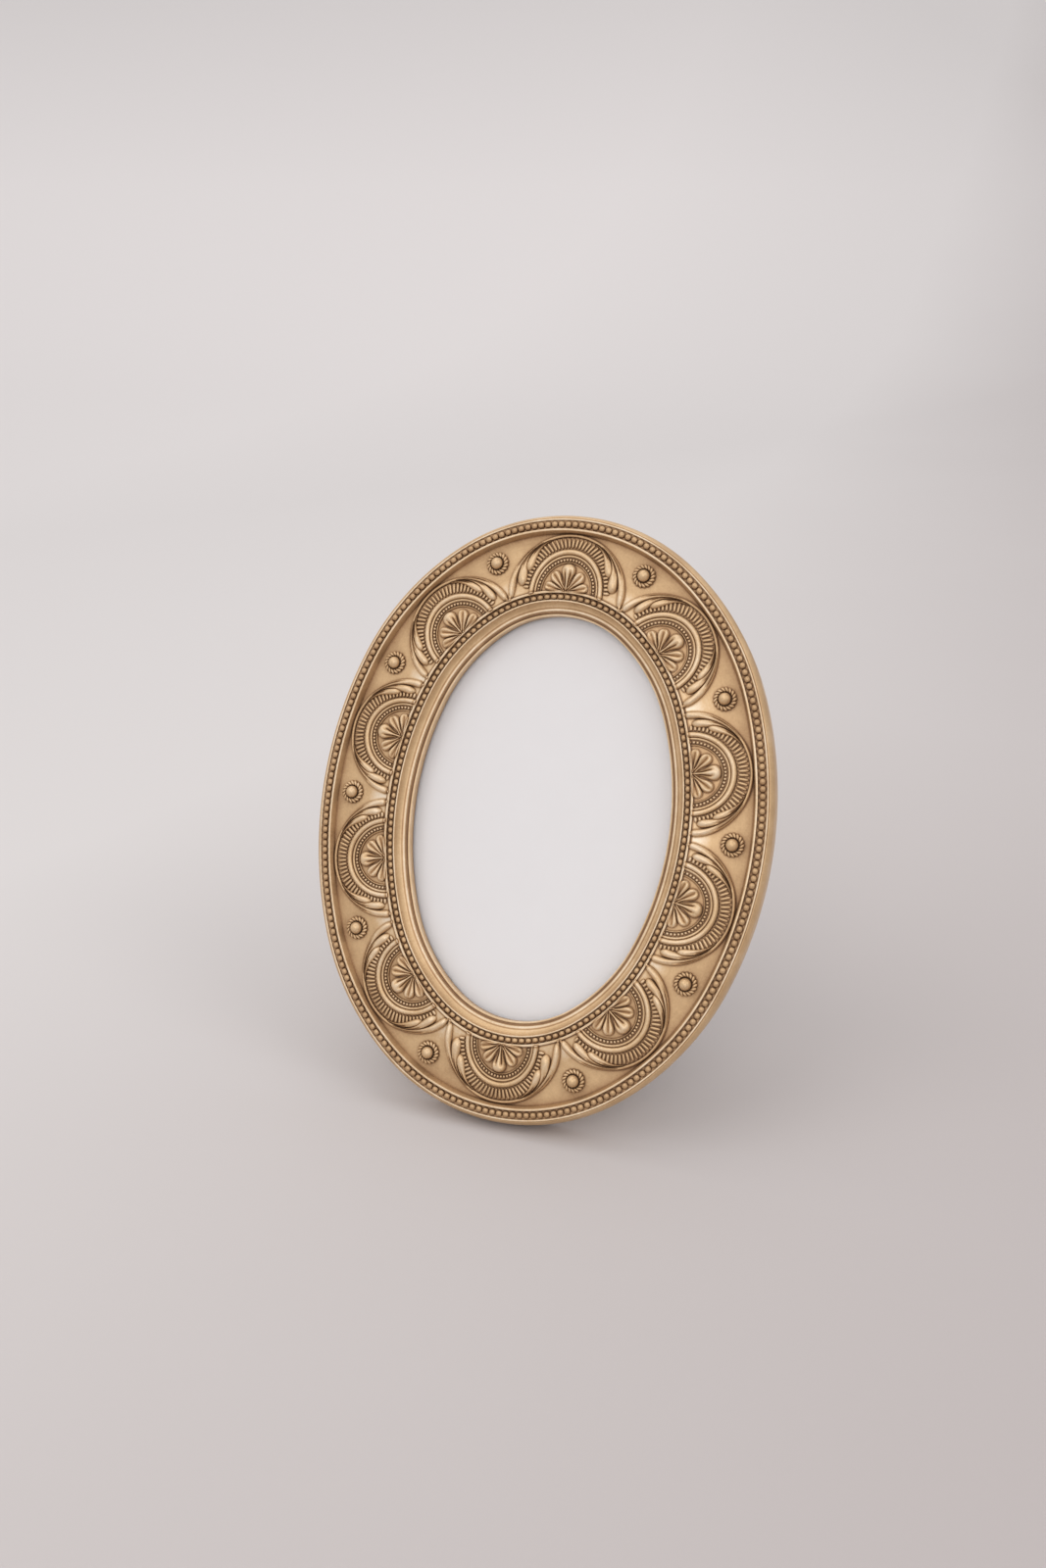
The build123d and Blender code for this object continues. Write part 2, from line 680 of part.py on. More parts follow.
pieces = {
    "frame_moulding": frame_moulding.part,
    "glass_pane": glass_pane.part,
    "photo_insert": photo_insert.part,
    "backboard": backboard.part,
    "easel_leg": easel_leg.part,
    "hinge_board_leaf": hinge_board_leaf.part,
    "hinge_leg_leaf": hinge_leg_leaf.part,
    "hinge_pin": hinge_pin.part,
    "hinge_board_rivets": hinge_board_rivets.part,
    "hinge_leg_rivets": hinge_leg_rivets.part,
    "turn_button_screws": turn_button_screws.part,
    "hanger_strap": hanger_strap.part,
    "hanger_ring": hanger_ring.part,
    "hanger_rivet": hanger_rivet.part,
    **buttons,
}
os.makedirs("parts", exist_ok=True)
for name, piece in pieces.items():
    piece.label = name
    export_step(piece, f"parts/{name}.step")
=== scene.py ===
"""Oval picture frame: an antique gold moulding with arches, beads and rosettes, its glass, paper and back.

The carved pieces are built here on the board, the frame's own leaning plane, in millimetres: u to the right,
v up the board and w out of it towards the viewer. The board's matrix then places them in the row frame.
"""

import json
import logging
from collections.abc import Callable, Iterable, Iterator, Sequence
from dataclasses import dataclass
from enum import Enum
from functools import cached_property, partial
from math import acos, asin, atan2, ceil, cos, degrees, exp, hypot, pi, radians, sin, sqrt

import bmesh
import bpy
from mathutils import Matrix, Vector


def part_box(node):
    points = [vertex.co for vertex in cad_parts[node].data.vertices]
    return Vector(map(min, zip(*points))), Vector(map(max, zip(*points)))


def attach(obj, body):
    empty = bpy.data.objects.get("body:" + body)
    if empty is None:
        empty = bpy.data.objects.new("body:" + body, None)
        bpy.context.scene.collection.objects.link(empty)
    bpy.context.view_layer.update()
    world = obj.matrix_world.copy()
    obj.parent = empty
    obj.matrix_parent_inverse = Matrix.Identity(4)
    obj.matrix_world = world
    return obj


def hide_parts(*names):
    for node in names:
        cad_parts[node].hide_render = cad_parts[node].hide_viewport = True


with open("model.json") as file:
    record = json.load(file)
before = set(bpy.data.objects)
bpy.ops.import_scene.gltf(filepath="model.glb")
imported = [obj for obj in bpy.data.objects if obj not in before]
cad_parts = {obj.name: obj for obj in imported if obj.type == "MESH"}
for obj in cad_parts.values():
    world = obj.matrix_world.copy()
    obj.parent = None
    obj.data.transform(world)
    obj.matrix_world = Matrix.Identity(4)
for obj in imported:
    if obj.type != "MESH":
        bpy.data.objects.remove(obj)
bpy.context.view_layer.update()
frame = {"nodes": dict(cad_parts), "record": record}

MM = 0.001
MERGE_GAP = 0.01
SECTION = "section"
LOG = logging.getLogger("oval_frame")

Colour = tuple[float, float, float, float]
PlanPoint = tuple[float, float, float]


class Slot(Enum):
    """Material slots of the record."""

    GOLD = "antique_gold"
    GLASS = "clear_glass"
    PAPER = "white_paper"
    FLOCK = "flocked_board"
    PLATED = "plated_steel"
    RIVET = "rivet_steel"
    SCREW = "screw_steel"


# Shader arithmetic


class Signal:
    """A shader socket that takes part in Python expressions, each operator adding one Math node."""

    def __init__(self, shop: "NodeShop", socket: bpy.types.NodeSocket) -> None:
        """Keep the socket and the shop that its tree is made in."""
        self.shop = shop
        self.socket = socket

    def _math(self, operation: str, *values: "Signal | float") -> "Signal":
        """Add a Math node.

        Args:
            operation: The node's operation.
            values: What its inputs get, in order.

        Returns:
            The node's result.
        """
        return self.shop.node("ShaderNodeMath", {"operation": operation}, dict(enumerate(values)))

    def __add__(self, other: "Signal | float") -> "Signal":
        """Return self + other."""
        return self._math("ADD", self, other)

    def __radd__(self, other: float) -> "Signal":
        """Return other + self."""
        return self._math("ADD", other, self)

    def __sub__(self, other: "Signal | float") -> "Signal":
        """Return self - other."""
        return self._math("SUBTRACT", self, other)

    def __rsub__(self, other: float) -> "Signal":
        """Return other - self."""
        return self._math("SUBTRACT", other, self)

    def __mul__(self, other: "Signal | float") -> "Signal":
        """Return self * other."""
        return self._math("MULTIPLY", self, other)

    def __truediv__(self, other: "Signal | float") -> "Signal":
        """Return self / other."""
        return self._math("DIVIDE", self, other)

    def swing(self, gain: "Signal | float") -> "Signal":
        """Return how far the value is above 0.5, times a gain."""
        return (self - 0.5) * gain

    def clamp(self) -> "Signal":
        """Return the value kept between 0 and 1."""
        return self.shop.node("ShaderNodeClamp", {}, {"Value": self})


class NodeShop:
    """Fills one node tree: every node in it comes from the node method."""

    def __init__(self, owner: bpy.types.Material | bpy.types.World) -> None:
        """Empty a node tree.

        Args:
            owner: Material or world that the tree belongs to.
        """
        owner.use_nodes = True
        self.tree = owner.node_tree
        self.tree.nodes.clear()

    def node(self, kind: str, settings: dict[str, object], inputs: dict[int | str, object],
             output: int | str | None = 0) -> Signal | None:
        """Add a node, set it up and connect it.

        Args:
            kind: The node's type.
            settings: Properties of the node, and the stops of a colour ramp, set before its inputs.
            inputs: Values or signals by the input's name or number.
            output: Name or number of the output to return, or None for a node without one.

        Returns:
            The chosen output.
        """
        made = self.tree.nodes.new(kind)
        for name, value in settings.items():
            if name == "stops":
                self._set_stops(made.color_ramp, value)
            else:
                setattr(made, name, value)
        for name, value in inputs.items():
            if isinstance(value, Signal):
                self.tree.links.new(value.socket, made.inputs[name])
            else:
                made.inputs[name].default_value = value
        return None if output is None else Signal(self, made.outputs[output])

    def blend(self, factor: Signal, first: Signal, second: Signal) -> Signal:
        """Return a blend of two shaders, where the factor is the share of the second."""
        return self.node("ShaderNodeMixShader", {}, {0: factor, 1: first, 2: second})

    @staticmethod
    def _set_stops(ramp: bpy.types.ColorRamp, stops: Sequence[tuple[float, Colour]]) -> None:
        """Give a colour ramp these stops.

        Args:
            ramp: The ramp, which starts with two stops.
            stops: Position and colour of each stop.
        """
        while len(ramp.elements) < len(stops):
            ramp.elements.new(1.0)
        for element, (position, colour) in zip(ramp.elements, stops):
            element.position = position
            element.color = colour


class MaterialShop(NodeShop):
    """Makes one node material."""

    def __init__(self, name: str) -> None:
        """Start an empty material of this name."""
        self.material = bpy.data.materials.new(name)
        super().__init__(self.material)

    def place(self) -> Signal:
        """Return the object coordinates, which are metres in the row frame."""
        return self.node("ShaderNodeTexCoord", {}, {}, "Object")

    def axes(self, vector: Signal) -> tuple[Signal, ...]:
        """Return the X, Y and Z of a vector."""
        return tuple(self.node("ShaderNodeSeparateXYZ", {}, {0: vector}, axis) for axis in "XYZ")

    def vector_math(self, operation: str, inputs: dict[int | str, object], output: int | str = 0) -> Signal:
        """Return the result of a Vector Math node."""
        return self.node("ShaderNodeVectorMath", {"operation": operation}, inputs, output)

    def noise(self, vector: Signal, scale: float, detail: float = 3.0, roughness: float = 0.55) -> Signal:
        """Return a noise value from 0 to 1.

        Args:
            vector: Coordinates.
            scale: Cells per unit of the coordinates.
            detail: Octaves.
            roughness: Share of each finer octave.

        Returns:
            The noise's factor.
        """
        return self.node("ShaderNodeTexNoise", {}, {
            "Vector": vector, "Scale": scale, "Detail": detail, "Roughness": roughness})

    def stretched(self, vector: Signal, scale: tuple[float, float, float]) -> Signal:
        """Return coordinates multiplied by these factors."""
        return self.node("ShaderNodeMapping", {}, {"Vector": vector, "Scale": scale})

    def ramp(self, factor: Signal, stops: Sequence[tuple[float, Colour]]) -> Signal:
        """Return the colour of a ramp at this factor."""
        return self.node("ShaderNodeValToRGB", {"stops": stops}, {"Fac": factor}, "Color")

    def mix(self, factor: Signal, first: object, second: object) -> Signal:
        """Mix two colours, which are the node's inputs 6 and 7 and its output 2.

        Args:
            factor: Share of the second colour.
            first: Colour or signal.
            second: Colour or signal.

        Returns:
            The mixed colour.
        """
        return self.node("ShaderNodeMix", {"data_type": "RGBA"}, {0: factor, 6: first, 7: second}, 2)

    def bump(self, height: Signal, distance: float, strength: float) -> Signal:
        """Return a bumped normal.

        Args:
            height: Height signal.
            distance: Height of one unit of the signal, in metres.
            strength: Share of the effect.

        Returns:
            The normal.
        """
        return self.node("ShaderNodeBump", {}, {"Height": height, "Distance": distance, "Strength": strength})

    def roundness(self) -> Signal:
        """Return how far the surface bulges, from 0 in a groove through 0.5 on a flat to 1 on an edge."""
        return self.node("ShaderNodeNewGeometry", {}, {}, "Pointiness")

    def openness(self, distance: float, samples: int = 8) -> Signal:
        """Return how open a place is within this distance, from 0 in a crevice to 1."""
        return self.node("ShaderNodeAmbientOcclusion", {"samples": samples}, {"Distance": distance}, "AO")

    def finish(self, shader: Signal) -> bpy.types.Material:
        """Connect the shader to the material's surface and return the material."""
        self.node("ShaderNodeOutputMaterial", {}, {"Surface": shader}, None)
        return self.material

    def principled(self, inputs: dict[str, object]) -> bpy.types.Material:
        """Return the material with a Principled shader that has these inputs."""
        return self.finish(self.node("ShaderNodeBsdfPrincipled", {}, inputs, "BSDF"))


# Finishes


@dataclass(frozen=True)
class AntiqueGold:
    """Gold paint on cast resin, brushed along the moulding, with brown patina and painted shade in every
    recess.

    Its tone runs from 0, deepest patina and painted shade, to 1, rubbed bare or lit by painted highlights and
    a painted sheen. Each share or rub says how far one cause moves it.
    Offsets and levels are those of the section, in millimetres.
    """

    slot: Slot = Slot.GOLD
    # The tone ramp's colours, from brown patina deepened by painted shade to rubbed gold lit by painted
    # sheen.
    wash_and_shade_brown: Colour = (0.155, 0.078, 0.036, 1.0)
    shade: Colour = (0.335, 0.185, 0.086, 1.0)
    gold: Colour = (0.625, 0.420, 0.225, 1.0)
    worn_and_sheen_gold: Colour = (0.88, 0.75, 0.585, 1.0)
    shade_tone: float = 0.30
    gold_tone: float = 0.66
    start_tone: float = 0.38
    metal_share: float = 0.5
    roughness: float = 0.44
    # Reach and share of the brown patina and painted shade in crevices and hollows.
    crevice_reach: float = 0.7 * MM
    hollow_reach: float = 3.5 * MM
    crevice_share: float = 0.84
    hollow_share: float = 0.42
    edge_rub: float = 0.2
    # Raised forms lighter and recesses darker, as rubbing and patina and as painted highlight and shade.
    crown_wear_and_light: float = 0.08
    recess_wash_and_shade: float = 0.27
    # Share of the painted sheen on the bare field near the inner fillet.
    field_sheen_share: float = 0.40
    edge_gain: float = 3.0
    bare_gain: float = 60.0
    zone_gain: float = 2.0
    field_sheen_inner: float = -14.5
    field_sheen_outer: float = -7.5
    field_sheen_fade: float = 5.0
    front_level: float = -4.0
    cloud_share: float = 0.42
    brush_share: float = 0.16
    speck_share: float = 0.20
    brush_drift: float = 25.0
    rubbed_polish: float = 0.14
    wash_roughness: float = 0.2
    speck_roughness: float = 0.14
    cloud_roughness: float = 0.10
    brush_height: float = 0.03 * MM
    brush_relief: float = 0.7
    speck_relief: float = 0.3

    def material(self) -> bpy.types.Material:
        """Build the finish from nodes.

        Returns:
            The material.
        """
        shop = MaterialShop(self.slot.value)
        place = shop.place()
        section = shop.node("ShaderNodeAttribute", {"attribute_name": SECTION}, {}, "Vector")
        outward, level, raised = shop.axes(section)
        crevice = shop.openness(self.crevice_reach, samples=10)
        hollow = shop.openness(self.hollow_reach)
        clouds = shop.noise(place, scale=95.0, detail=6.0, roughness=0.6)
        specks = shop.noise(place, scale=1300.0, detail=2.0, roughness=0.6)
        drift = shop.vector_math("SCALE", {0: place, "Scale": self.brush_drift})
        along_moulding = shop.vector_math("ADD", {0: section, 1: drift})
        brush = shop.noise(along_moulding, scale=6.5, roughness=0.65)
        # Brown patina in the recesses, and painted shade: the less open a crease or hollow, the darker.
        wash_and_shade = (1.0 - crevice) * self.crevice_share + (1.0 - hollow) * self.hollow_share
        rubbed = shop.roundness().swing(self.edge_gain).clamp()
        patches = clouds.swing(self.cloud_share) + brush.swing(self.brush_share)
        patches = patches + specks.swing(self.speck_share)
        tone = self.start_tone - wash_and_shade + rubbed * self.edge_rub + patches
        tone = (tone + self._section_tone(shop, outward, level, raised)).clamp()
        dark = ((0.0, self.wash_and_shade_brown), (self.shade_tone, self.shade))
        light = ((self.gold_tone, self.gold), (1.0, self.worn_and_sheen_gold))
        rough = self.roughness - rubbed * self.rubbed_polish + wash_and_shade * self.wash_roughness
        rough = rough + specks.swing(self.speck_roughness) + clouds.swing(self.cloud_roughness)
        return shop.principled({
            "Base Color": shop.ramp(tone, dark + light),
            "Metallic": self.metal_share,
            "Roughness": rough.clamp(),
            "Normal": shop.bump(brush * self.brush_relief + specks * self.speck_relief,
                                self.brush_height, strength=0.8),
        })

    def _section_tone(self, shop: MaterialShop, outward: Signal, level: Signal, raised: Signal) -> Signal:
        """Work out what a point's place on the section adds to its tone.

        Args:
            shop: The material in work.
            outward: Offset of the point.
            level: Level of the point.
            raised: How far it stands out, 1 at most, or below 0 in a recess.

        Returns:
            The tone to add.
        """
        # Rubbed fillets with painted highlights, painted shade in the quirks and at their feet, on the front
        # only.
        start, end = Section().wear_and_light_span()
        wear_and_light = shop.ramp((outward - start) / (end - start), Section().wear_and_light_stops())
        front = ((level - self.front_level) * self.zone_gain).clamp()
        # Painted sheen: the bare field near the inner fillet is lightened as if it reflected the light.
        near_sight = ((self.field_sheen_outer - outward) / self.field_sheen_fade).clamp()
        field_sheen = near_sight * ((outward - self.field_sheen_inner) * self.zone_gain).clamp() * front
        bare = (1.0 - raised * raised * self.bare_gain).clamp()
        # Raised forms lighter and recesses darker: partly rubbing and patina, partly painted highlight and
        # shade.
        tone = wear_and_light.swing(front) + raised * self.crown_wear_and_light + (raised + 1.0).clamp() * self.recess_wash_and_shade
        return tone + field_sheen * bare * self.field_sheen_share


@dataclass(frozen=True)
class ClearGlass:
    """Clear float glass, seen through and reflecting more at a slant."""

    slot: Slot = Slot.GLASS
    tint: Colour = (0.98, 0.982, 0.98, 1.0)
    gleam: Colour = (1.0, 1.0, 1.0, 1.0)
    index: float = 1.5
    roughness: float = 0.02
    smear_share: float = 0.05

    def material(self) -> bpy.types.Material:
        """Build the finish from nodes.

        Returns:
            The material.
        """
        shop = MaterialShop(self.slot.value)
        smears = shop.noise(shop.place(), scale=50.0)
        gloss = shop.node("ShaderNodeBsdfGlossy", {}, {
            "Color": self.gleam, "Roughness": self.roughness + smears * self.smear_share})
        clear = shop.node("ShaderNodeBsdfTransparent", {}, {"Color": self.tint})
        slant = shop.node("ShaderNodeFresnel", {}, {"IOR": self.index})
        from_behind = shop.node("ShaderNodeNewGeometry", {}, {}, "Backfacing")
        return shop.finish(shop.blend(slant * (1.0 - from_behind), clear, gloss))


@dataclass(frozen=True)
class BarePaper:
    """Smooth white paper with a faint fibre."""

    slot: Slot = Slot.PAPER
    sheet: Colour = (0.806, 0.775, 0.780, 1.0)
    fibre: Colour = (0.768, 0.738, 0.742, 1.0)
    roughness: float = 0.68
    fibre_stretch: tuple[float, float, float] = (1.0, 2.2, 1.4)
    fibre_height: float = 0.02 * MM
    fibre_share: float = 0.6
    cloud_share: float = 0.4
    fibre_roughness: float = 0.2

    def material(self) -> bpy.types.Material:
        """Build the finish from nodes.

        Returns:
            The material.
        """
        shop = MaterialShop(self.slot.value)
        place = shop.place()
        along_fibres = shop.stretched(place, self.fibre_stretch)
        fibres = shop.noise(along_fibres, scale=1400.0, detail=4.0, roughness=0.6)
        clouds = shop.noise(place, scale=90.0)
        tone = (fibres * self.fibre_share + clouds * self.cloud_share).clamp()
        return shop.principled({
            "Base Color": shop.mix(tone, self.sheet, self.fibre),
            "Roughness": (self.roughness + fibres.swing(self.fibre_roughness)).clamp(),
            "Normal": shop.bump(fibres, self.fibre_height, strength=0.5),
            "Specular IOR Level": 0.35,
        })


@dataclass(frozen=True)
class BlackFlock:
    """Black flock on hardboard, a short nap that lightens where it was stroked."""

    slot: Slot = Slot.FLOCK
    deep: Colour = (0.008, 0.0075, 0.009, 1.0)
    stroked: Colour = (0.026, 0.025, 0.028, 1.0)
    roughness: float = 0.88
    stroke_stretch: tuple[float, float, float] = (1.0, 0.35, 0.35)
    nap_height: float = 0.12 * MM
    stroke_start: float = 0.35
    stroke_gain: float = 1.6
    nap_share: float = 0.6
    nap_roughness: float = 0.2

    def material(self) -> bpy.types.Material:
        """Build the finish from nodes.

        Returns:
            The material.
        """
        shop = MaterialShop(self.slot.value)
        place = shop.place()
        nap = shop.noise(place, scale=2600.0, roughness=0.7)
        along_strokes = shop.stretched(place, self.stroke_stretch)
        strokes = shop.noise(along_strokes, scale=130.0, detail=4.0, roughness=0.6)
        tone = (strokes - self.stroke_start) * self.stroke_gain + nap.swing(self.nap_share)
        return shop.principled({
            "Base Color": shop.mix(tone.clamp(), self.deep, self.stroked),
            "Roughness": (self.roughness + nap.swing(self.nap_roughness)).clamp(),
            "Normal": shop.bump(nap, self.nap_height, strength=0.9),
            "Sheen Weight": 0.35,
            "Sheen Roughness": 0.4,
            "Specular IOR Level": 0.25,
        })


@dataclass(frozen=True)
class BrushedMetal:
    """Plated sheet or wire with fine rolling lines, dull spots and painted shade in its crevices."""

    slot: Slot
    bright: Colour
    dull: Colour
    roughness: float
    line_stretch: tuple[float, float, float] = (1.0, 9.0, 9.0)
    line_height: float = 0.012 * MM
    crevice_reach: float = 1.0 * MM
    spot_share: float = 0.7
    line_share: float = 0.3
    crevice_share: float = 0.5
    tone_start: float = 0.1
    line_roughness: float = 0.22
    spot_roughness: float = 0.12

    def material(self) -> bpy.types.Material:
        """Build the finish from nodes.

        Returns:
            The material.
        """
        shop = MaterialShop(self.slot.value)
        place = shop.place()
        lines = shop.noise(shop.stretched(place, self.line_stretch), scale=420.0, detail=4.0, roughness=0.6)
        spots = shop.noise(place, scale=240.0, detail=4.0, roughness=0.65)
        # Painted shade: the metal turns to its dull colour in its crevices, as ambient occlusion finds them.
        crevice = shop.openness(self.crevice_reach)
        tone = spots * self.spot_share + lines * self.line_share + (1.0 - crevice) * self.crevice_share
        return shop.principled({
            "Base Color": shop.mix((tone - self.tone_start).clamp(), self.bright, self.dull),
            "Metallic": 1.0,
            "Roughness": (self.roughness + lines.swing(self.line_roughness)
                          + spots.swing(self.spot_roughness)).clamp(),
            "Normal": shop.bump(lines, self.line_height, strength=0.6),
        })


@dataclass(frozen=True)
class PaleFloor:
    """Matt pale surface that the frame stands on, lighter to the left, far behind and at its rim. Its lighter
    left and far back are painted light, as if lamps lit the floor from the left and from far behind.

    Starts and ends are metres, and each gain says how much the share of the lighter colour changes per metre.
    """

    dim: Colour = (0.42, 0.376, 0.367, 1.0)
    light: Colour = (0.642, 0.608, 0.594, 1.0)
    far: Colour = (0.795, 0.750, 0.733, 1.0)
    rightward_gain: float = -1.5
    backward_gain: float = 1.15
    depth_share: float = 0.42
    far_start: float = 0.45
    far_gain: float = 0.38
    far_end_left: float = -0.9
    far_fall: float = 0.60
    rim_start: float = 1.6
    rim_gain: float = 0.5
    cloud_share: float = 0.1

    def material(self) -> bpy.types.Material:
        """Build the surface from nodes.

        Returns:
            The material.
        """
        shop = MaterialShop("pale_floor")
        place = shop.place()
        clouds = shop.noise(place, scale=3.0, detail=2.0)
        across, back, up = shop.axes(place)
        # Painted light: lighter to the left and further back, and the far colour fades up the sweep and to
        # the right.
        depth = (back * self.backward_gain + 0.5).clamp() - 0.5
        slope = across * self.rightward_gain + depth * self.depth_share + 0.5
        near = shop.mix((slope + clouds.swing(self.cloud_share)).clamp(), self.dim, self.light)
        distant = ((back - self.far_start) * self.far_gain).clamp() - up
        distant = distant - ((across - self.far_end_left) * self.far_fall).clamp()
        reach = shop.vector_math("LENGTH", {0: place}, "Value")
        rim = ((reach - self.rim_start) * self.rim_gain).clamp() * (1.0 - (back * 2.0).clamp())
        return shop.principled({
            "Base Color": shop.mix((distant.clamp() + rim).clamp(), near, self.far),
            "Roughness": 0.9,
            "Specular IOR Level": 0.1,
        })


Finishes = dict[Slot, bpy.types.Material]


def make_finishes() -> Finishes:
    """Make every finish of the frame once.

    Returns:
        The material of each slot.
    """
    looks = (
        AntiqueGold(), ClearGlass(), BarePaper(), BlackFlock(),
        BrushedMetal(Slot.PLATED, (0.78, 0.60, 0.30, 1.0), (0.50, 0.36, 0.17, 1.0), 0.27),
        BrushedMetal(Slot.RIVET, (0.80, 0.64, 0.36, 1.0), (0.52, 0.39, 0.20, 1.0), 0.22),
        BrushedMetal(Slot.SCREW, (0.72, 0.72, 0.71, 1.0), (0.45, 0.45, 0.46, 1.0), 0.26, (4.0, 4.0, 4.0)),
    )
    return {look.slot: look.material() for look in looks}


# The oval and the board


@dataclass(frozen=True)
class Arc:
    """One arc of the oval about its centre, from a start angle through a sweep, in degrees."""

    centre: tuple[float, float]
    radius: float
    start: float
    sweep: float


@dataclass(frozen=True)
class Oval:
    """The line through the rosettes, eight tangent arcs."""

    half_width: float = 70.6
    half_height: float = 94.4
    side_half_angle: float = 21.0
    crown_start_angle: float = 53.0

    @cached_property
    def quarter(self) -> tuple[Arc, Arc, Arc]:
        """Work out the upper right quarter, whose three arcs meet as tangents.

        Returns:
            Its side, flank and crown arcs.
        """
        flank = sqrt(self.half_width * self.half_height)
        side_cos, side_sin = cos(radians(self.side_half_angle)), sin(radians(self.side_half_angle))
        crown_cos, crown_sin = cos(radians(self.crown_start_angle)), sin(radians(self.crown_start_angle))
        width_left = flank * (side_cos - crown_cos) - self.half_width
        height_left = flank * (side_sin - crown_sin) + self.half_height
        determinant = (side_cos - 1) * (1 - crown_sin) + crown_cos * side_sin
        side = (width_left * (1 - crown_sin) + crown_cos * height_left) / determinant
        crown = ((side_cos - 1) * height_left - side_sin * width_left) / determinant
        side_centre = (self.half_width - side, 0.0)
        flank_centre = (side_centre[0] + (side - flank) * side_cos, (side - flank) * side_sin)
        return (
            Arc(side_centre, side, 0.0, self.side_half_angle),
            Arc(flank_centre, flank, self.side_half_angle, self.crown_start_angle - self.side_half_angle),
            Arc((0.0, self.half_height - crown), crown, self.crown_start_angle, 90 - self.crown_start_angle),
        )

    def arcs(self) -> list[Arc]:
        """Mirror the quarter's arcs to all four.

        Returns:
            The eight arcs in order, from below the right side round to the left and back.
        """
        side, flank, crown = self.quarter
        (side_u, _), (flank_u, flank_v), (_, crown_v) = side.centre, flank.centre, crown.centre
        return [
            Arc((side_u, 0.0), side.radius, -side.sweep, 2 * side.sweep),
            Arc((flank_u, flank_v), flank.radius, flank.start, flank.sweep),
            Arc((0.0, crown_v), crown.radius, crown.start, 2 * crown.sweep),
            Arc((-flank_u, flank_v), flank.radius, 180 - crown.start, flank.sweep),
            Arc((-side_u, 0.0), side.radius, 180 - side.sweep, 2 * side.sweep),
            Arc((-flank_u, -flank_v), flank.radius, 180 + flank.start, flank.sweep),
            Arc((0.0, -crown_v), crown.radius, 180 + crown.start, 2 * crown.sweep),
            Arc((flank_u, -flank_v), flank.radius, 360 - crown.start, flank.sweep),
        ]

    def arc_at(self, angle: float) -> Arc:
        """Return the quarter's arc whose mirror images hold this normal angle."""
        folded = degrees(asin(min(abs(sin(radians(angle))), 1.0)))
        return next(arc for arc in self.quarter if folded <= arc.start + arc.sweep + 1e-6)

    def point(self, angle: float, offset: float) -> tuple[float, float]:
        """Find the place where the outward normal has some angle.

        Args:
            angle: The normal's angle in degrees, 0 to the right and 90 up.
            offset: Distance outside the oval.

        Returns:
            The place on the board.
        """
        right, up = cos(radians(angle)), sin(radians(angle))
        arc = self.arc_at(angle)
        u = arc.centre[0] + (arc.radius + offset) * abs(right)
        v = arc.centre[1] + (arc.radius + offset) * abs(up)
        return (u if right >= 0 else -u), (v if up >= 0 else -v)

    def offset_of(self, u: float, v: float) -> float:
        """Find how far outside the oval a place lies.

        Args:
            u: The place's distance to the right of the middle.
            v: The place's distance up the board.

        Returns:
            The distance, below 0 inside.
        """
        side, flank, crown = self.quarter
        for arc in (side, crown, flank):
            du, dv = abs(u) - arc.centre[0], abs(v) - arc.centre[1]
            angle = degrees(atan2(dv, du))
            if arc is flank or arc.start <= angle <= arc.start + arc.sweep:
                return hypot(du, dv) - arc.radius
        return 0.0

    def angles_at(self, share: float) -> list[float]:
        """Return the normal angles at this share of a quarter from the top and from the bottom.

        Args:
            share: Share of the quarter's length.

        Returns:
            Two angles on an axis of the oval, or four.
        """
        side, flank, crown = self.quarter
        lengths = [arc.radius * radians(arc.sweep) for arc in (crown, flank, side)]
        left = share * sum(lengths)
        if left <= lengths[0]:
            angle = 90 - degrees(left / crown.radius)
        elif left <= lengths[0] + lengths[1]:
            angle = crown.start - degrees((left - lengths[0]) / flank.radius)
        else:
            angle = degrees((sum(lengths) - left) / side.radius)
        if share == 0:
            return [90.0, 270.0]
        if share == 1:
            return [0.0, 180.0]
        return [angle, 180 - angle, 180 + angle, 360 - angle]

    def walk(self, offset: float, count: int) -> Iterator[float]:
        """Yield the normal angles of evenly spaced places along the offset oval.

        Args:
            offset: Distance outside the oval.
            count: Number of places.

        Yields:
            Each place's normal angle.
        """
        arcs = self.arcs()
        lengths = [(arc.radius + offset) * radians(arc.sweep) for arc in arcs]
        step = sum(lengths) / count
        index, passed = 0, 0.0
        for place in range(count):
            reach = (place + 0.5) * step
            while reach > passed + lengths[index]:
                passed += lengths[index]
                index += 1
            arc = arcs[index]
            yield arc.start + degrees((reach - passed) / (arc.radius + offset))


@dataclass(frozen=True)
class Board:
    """The leaning plane that the frame is built on."""

    lean_angle: float
    origin: Vector

    @classmethod
    def behind_pane(cls, lean_angle: float, pane_level: float) -> "Board":
        """Find the board from the glass pane.

        Args:
            lean_angle: Lean in degrees.
            pane_level: Level of the middle of the pane on the board, in millimetres.

        Returns:
            The board.
        """
        low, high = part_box("glass_pane")
        lean = radians(lean_angle)
        normal = Vector((0.0, -cos(lean), sin(lean)))
        return cls(lean_angle, (low + high) / 2 - normal * pane_level * MM)

    @property
    def matrix(self) -> Matrix:
        """Turn and move the board to where it leans.

        Returns:
            The transform from millimetres on the board to metres in the row frame.
        """
        lean = radians(self.lean_angle)
        turn = Matrix(((1, 0, 0), (0, sin(lean), -cos(lean)), (0, cos(lean), sin(lean)))).to_4x4()
        return Matrix.Translation(self.origin) @ turn @ Matrix.Scale(MM, 4)


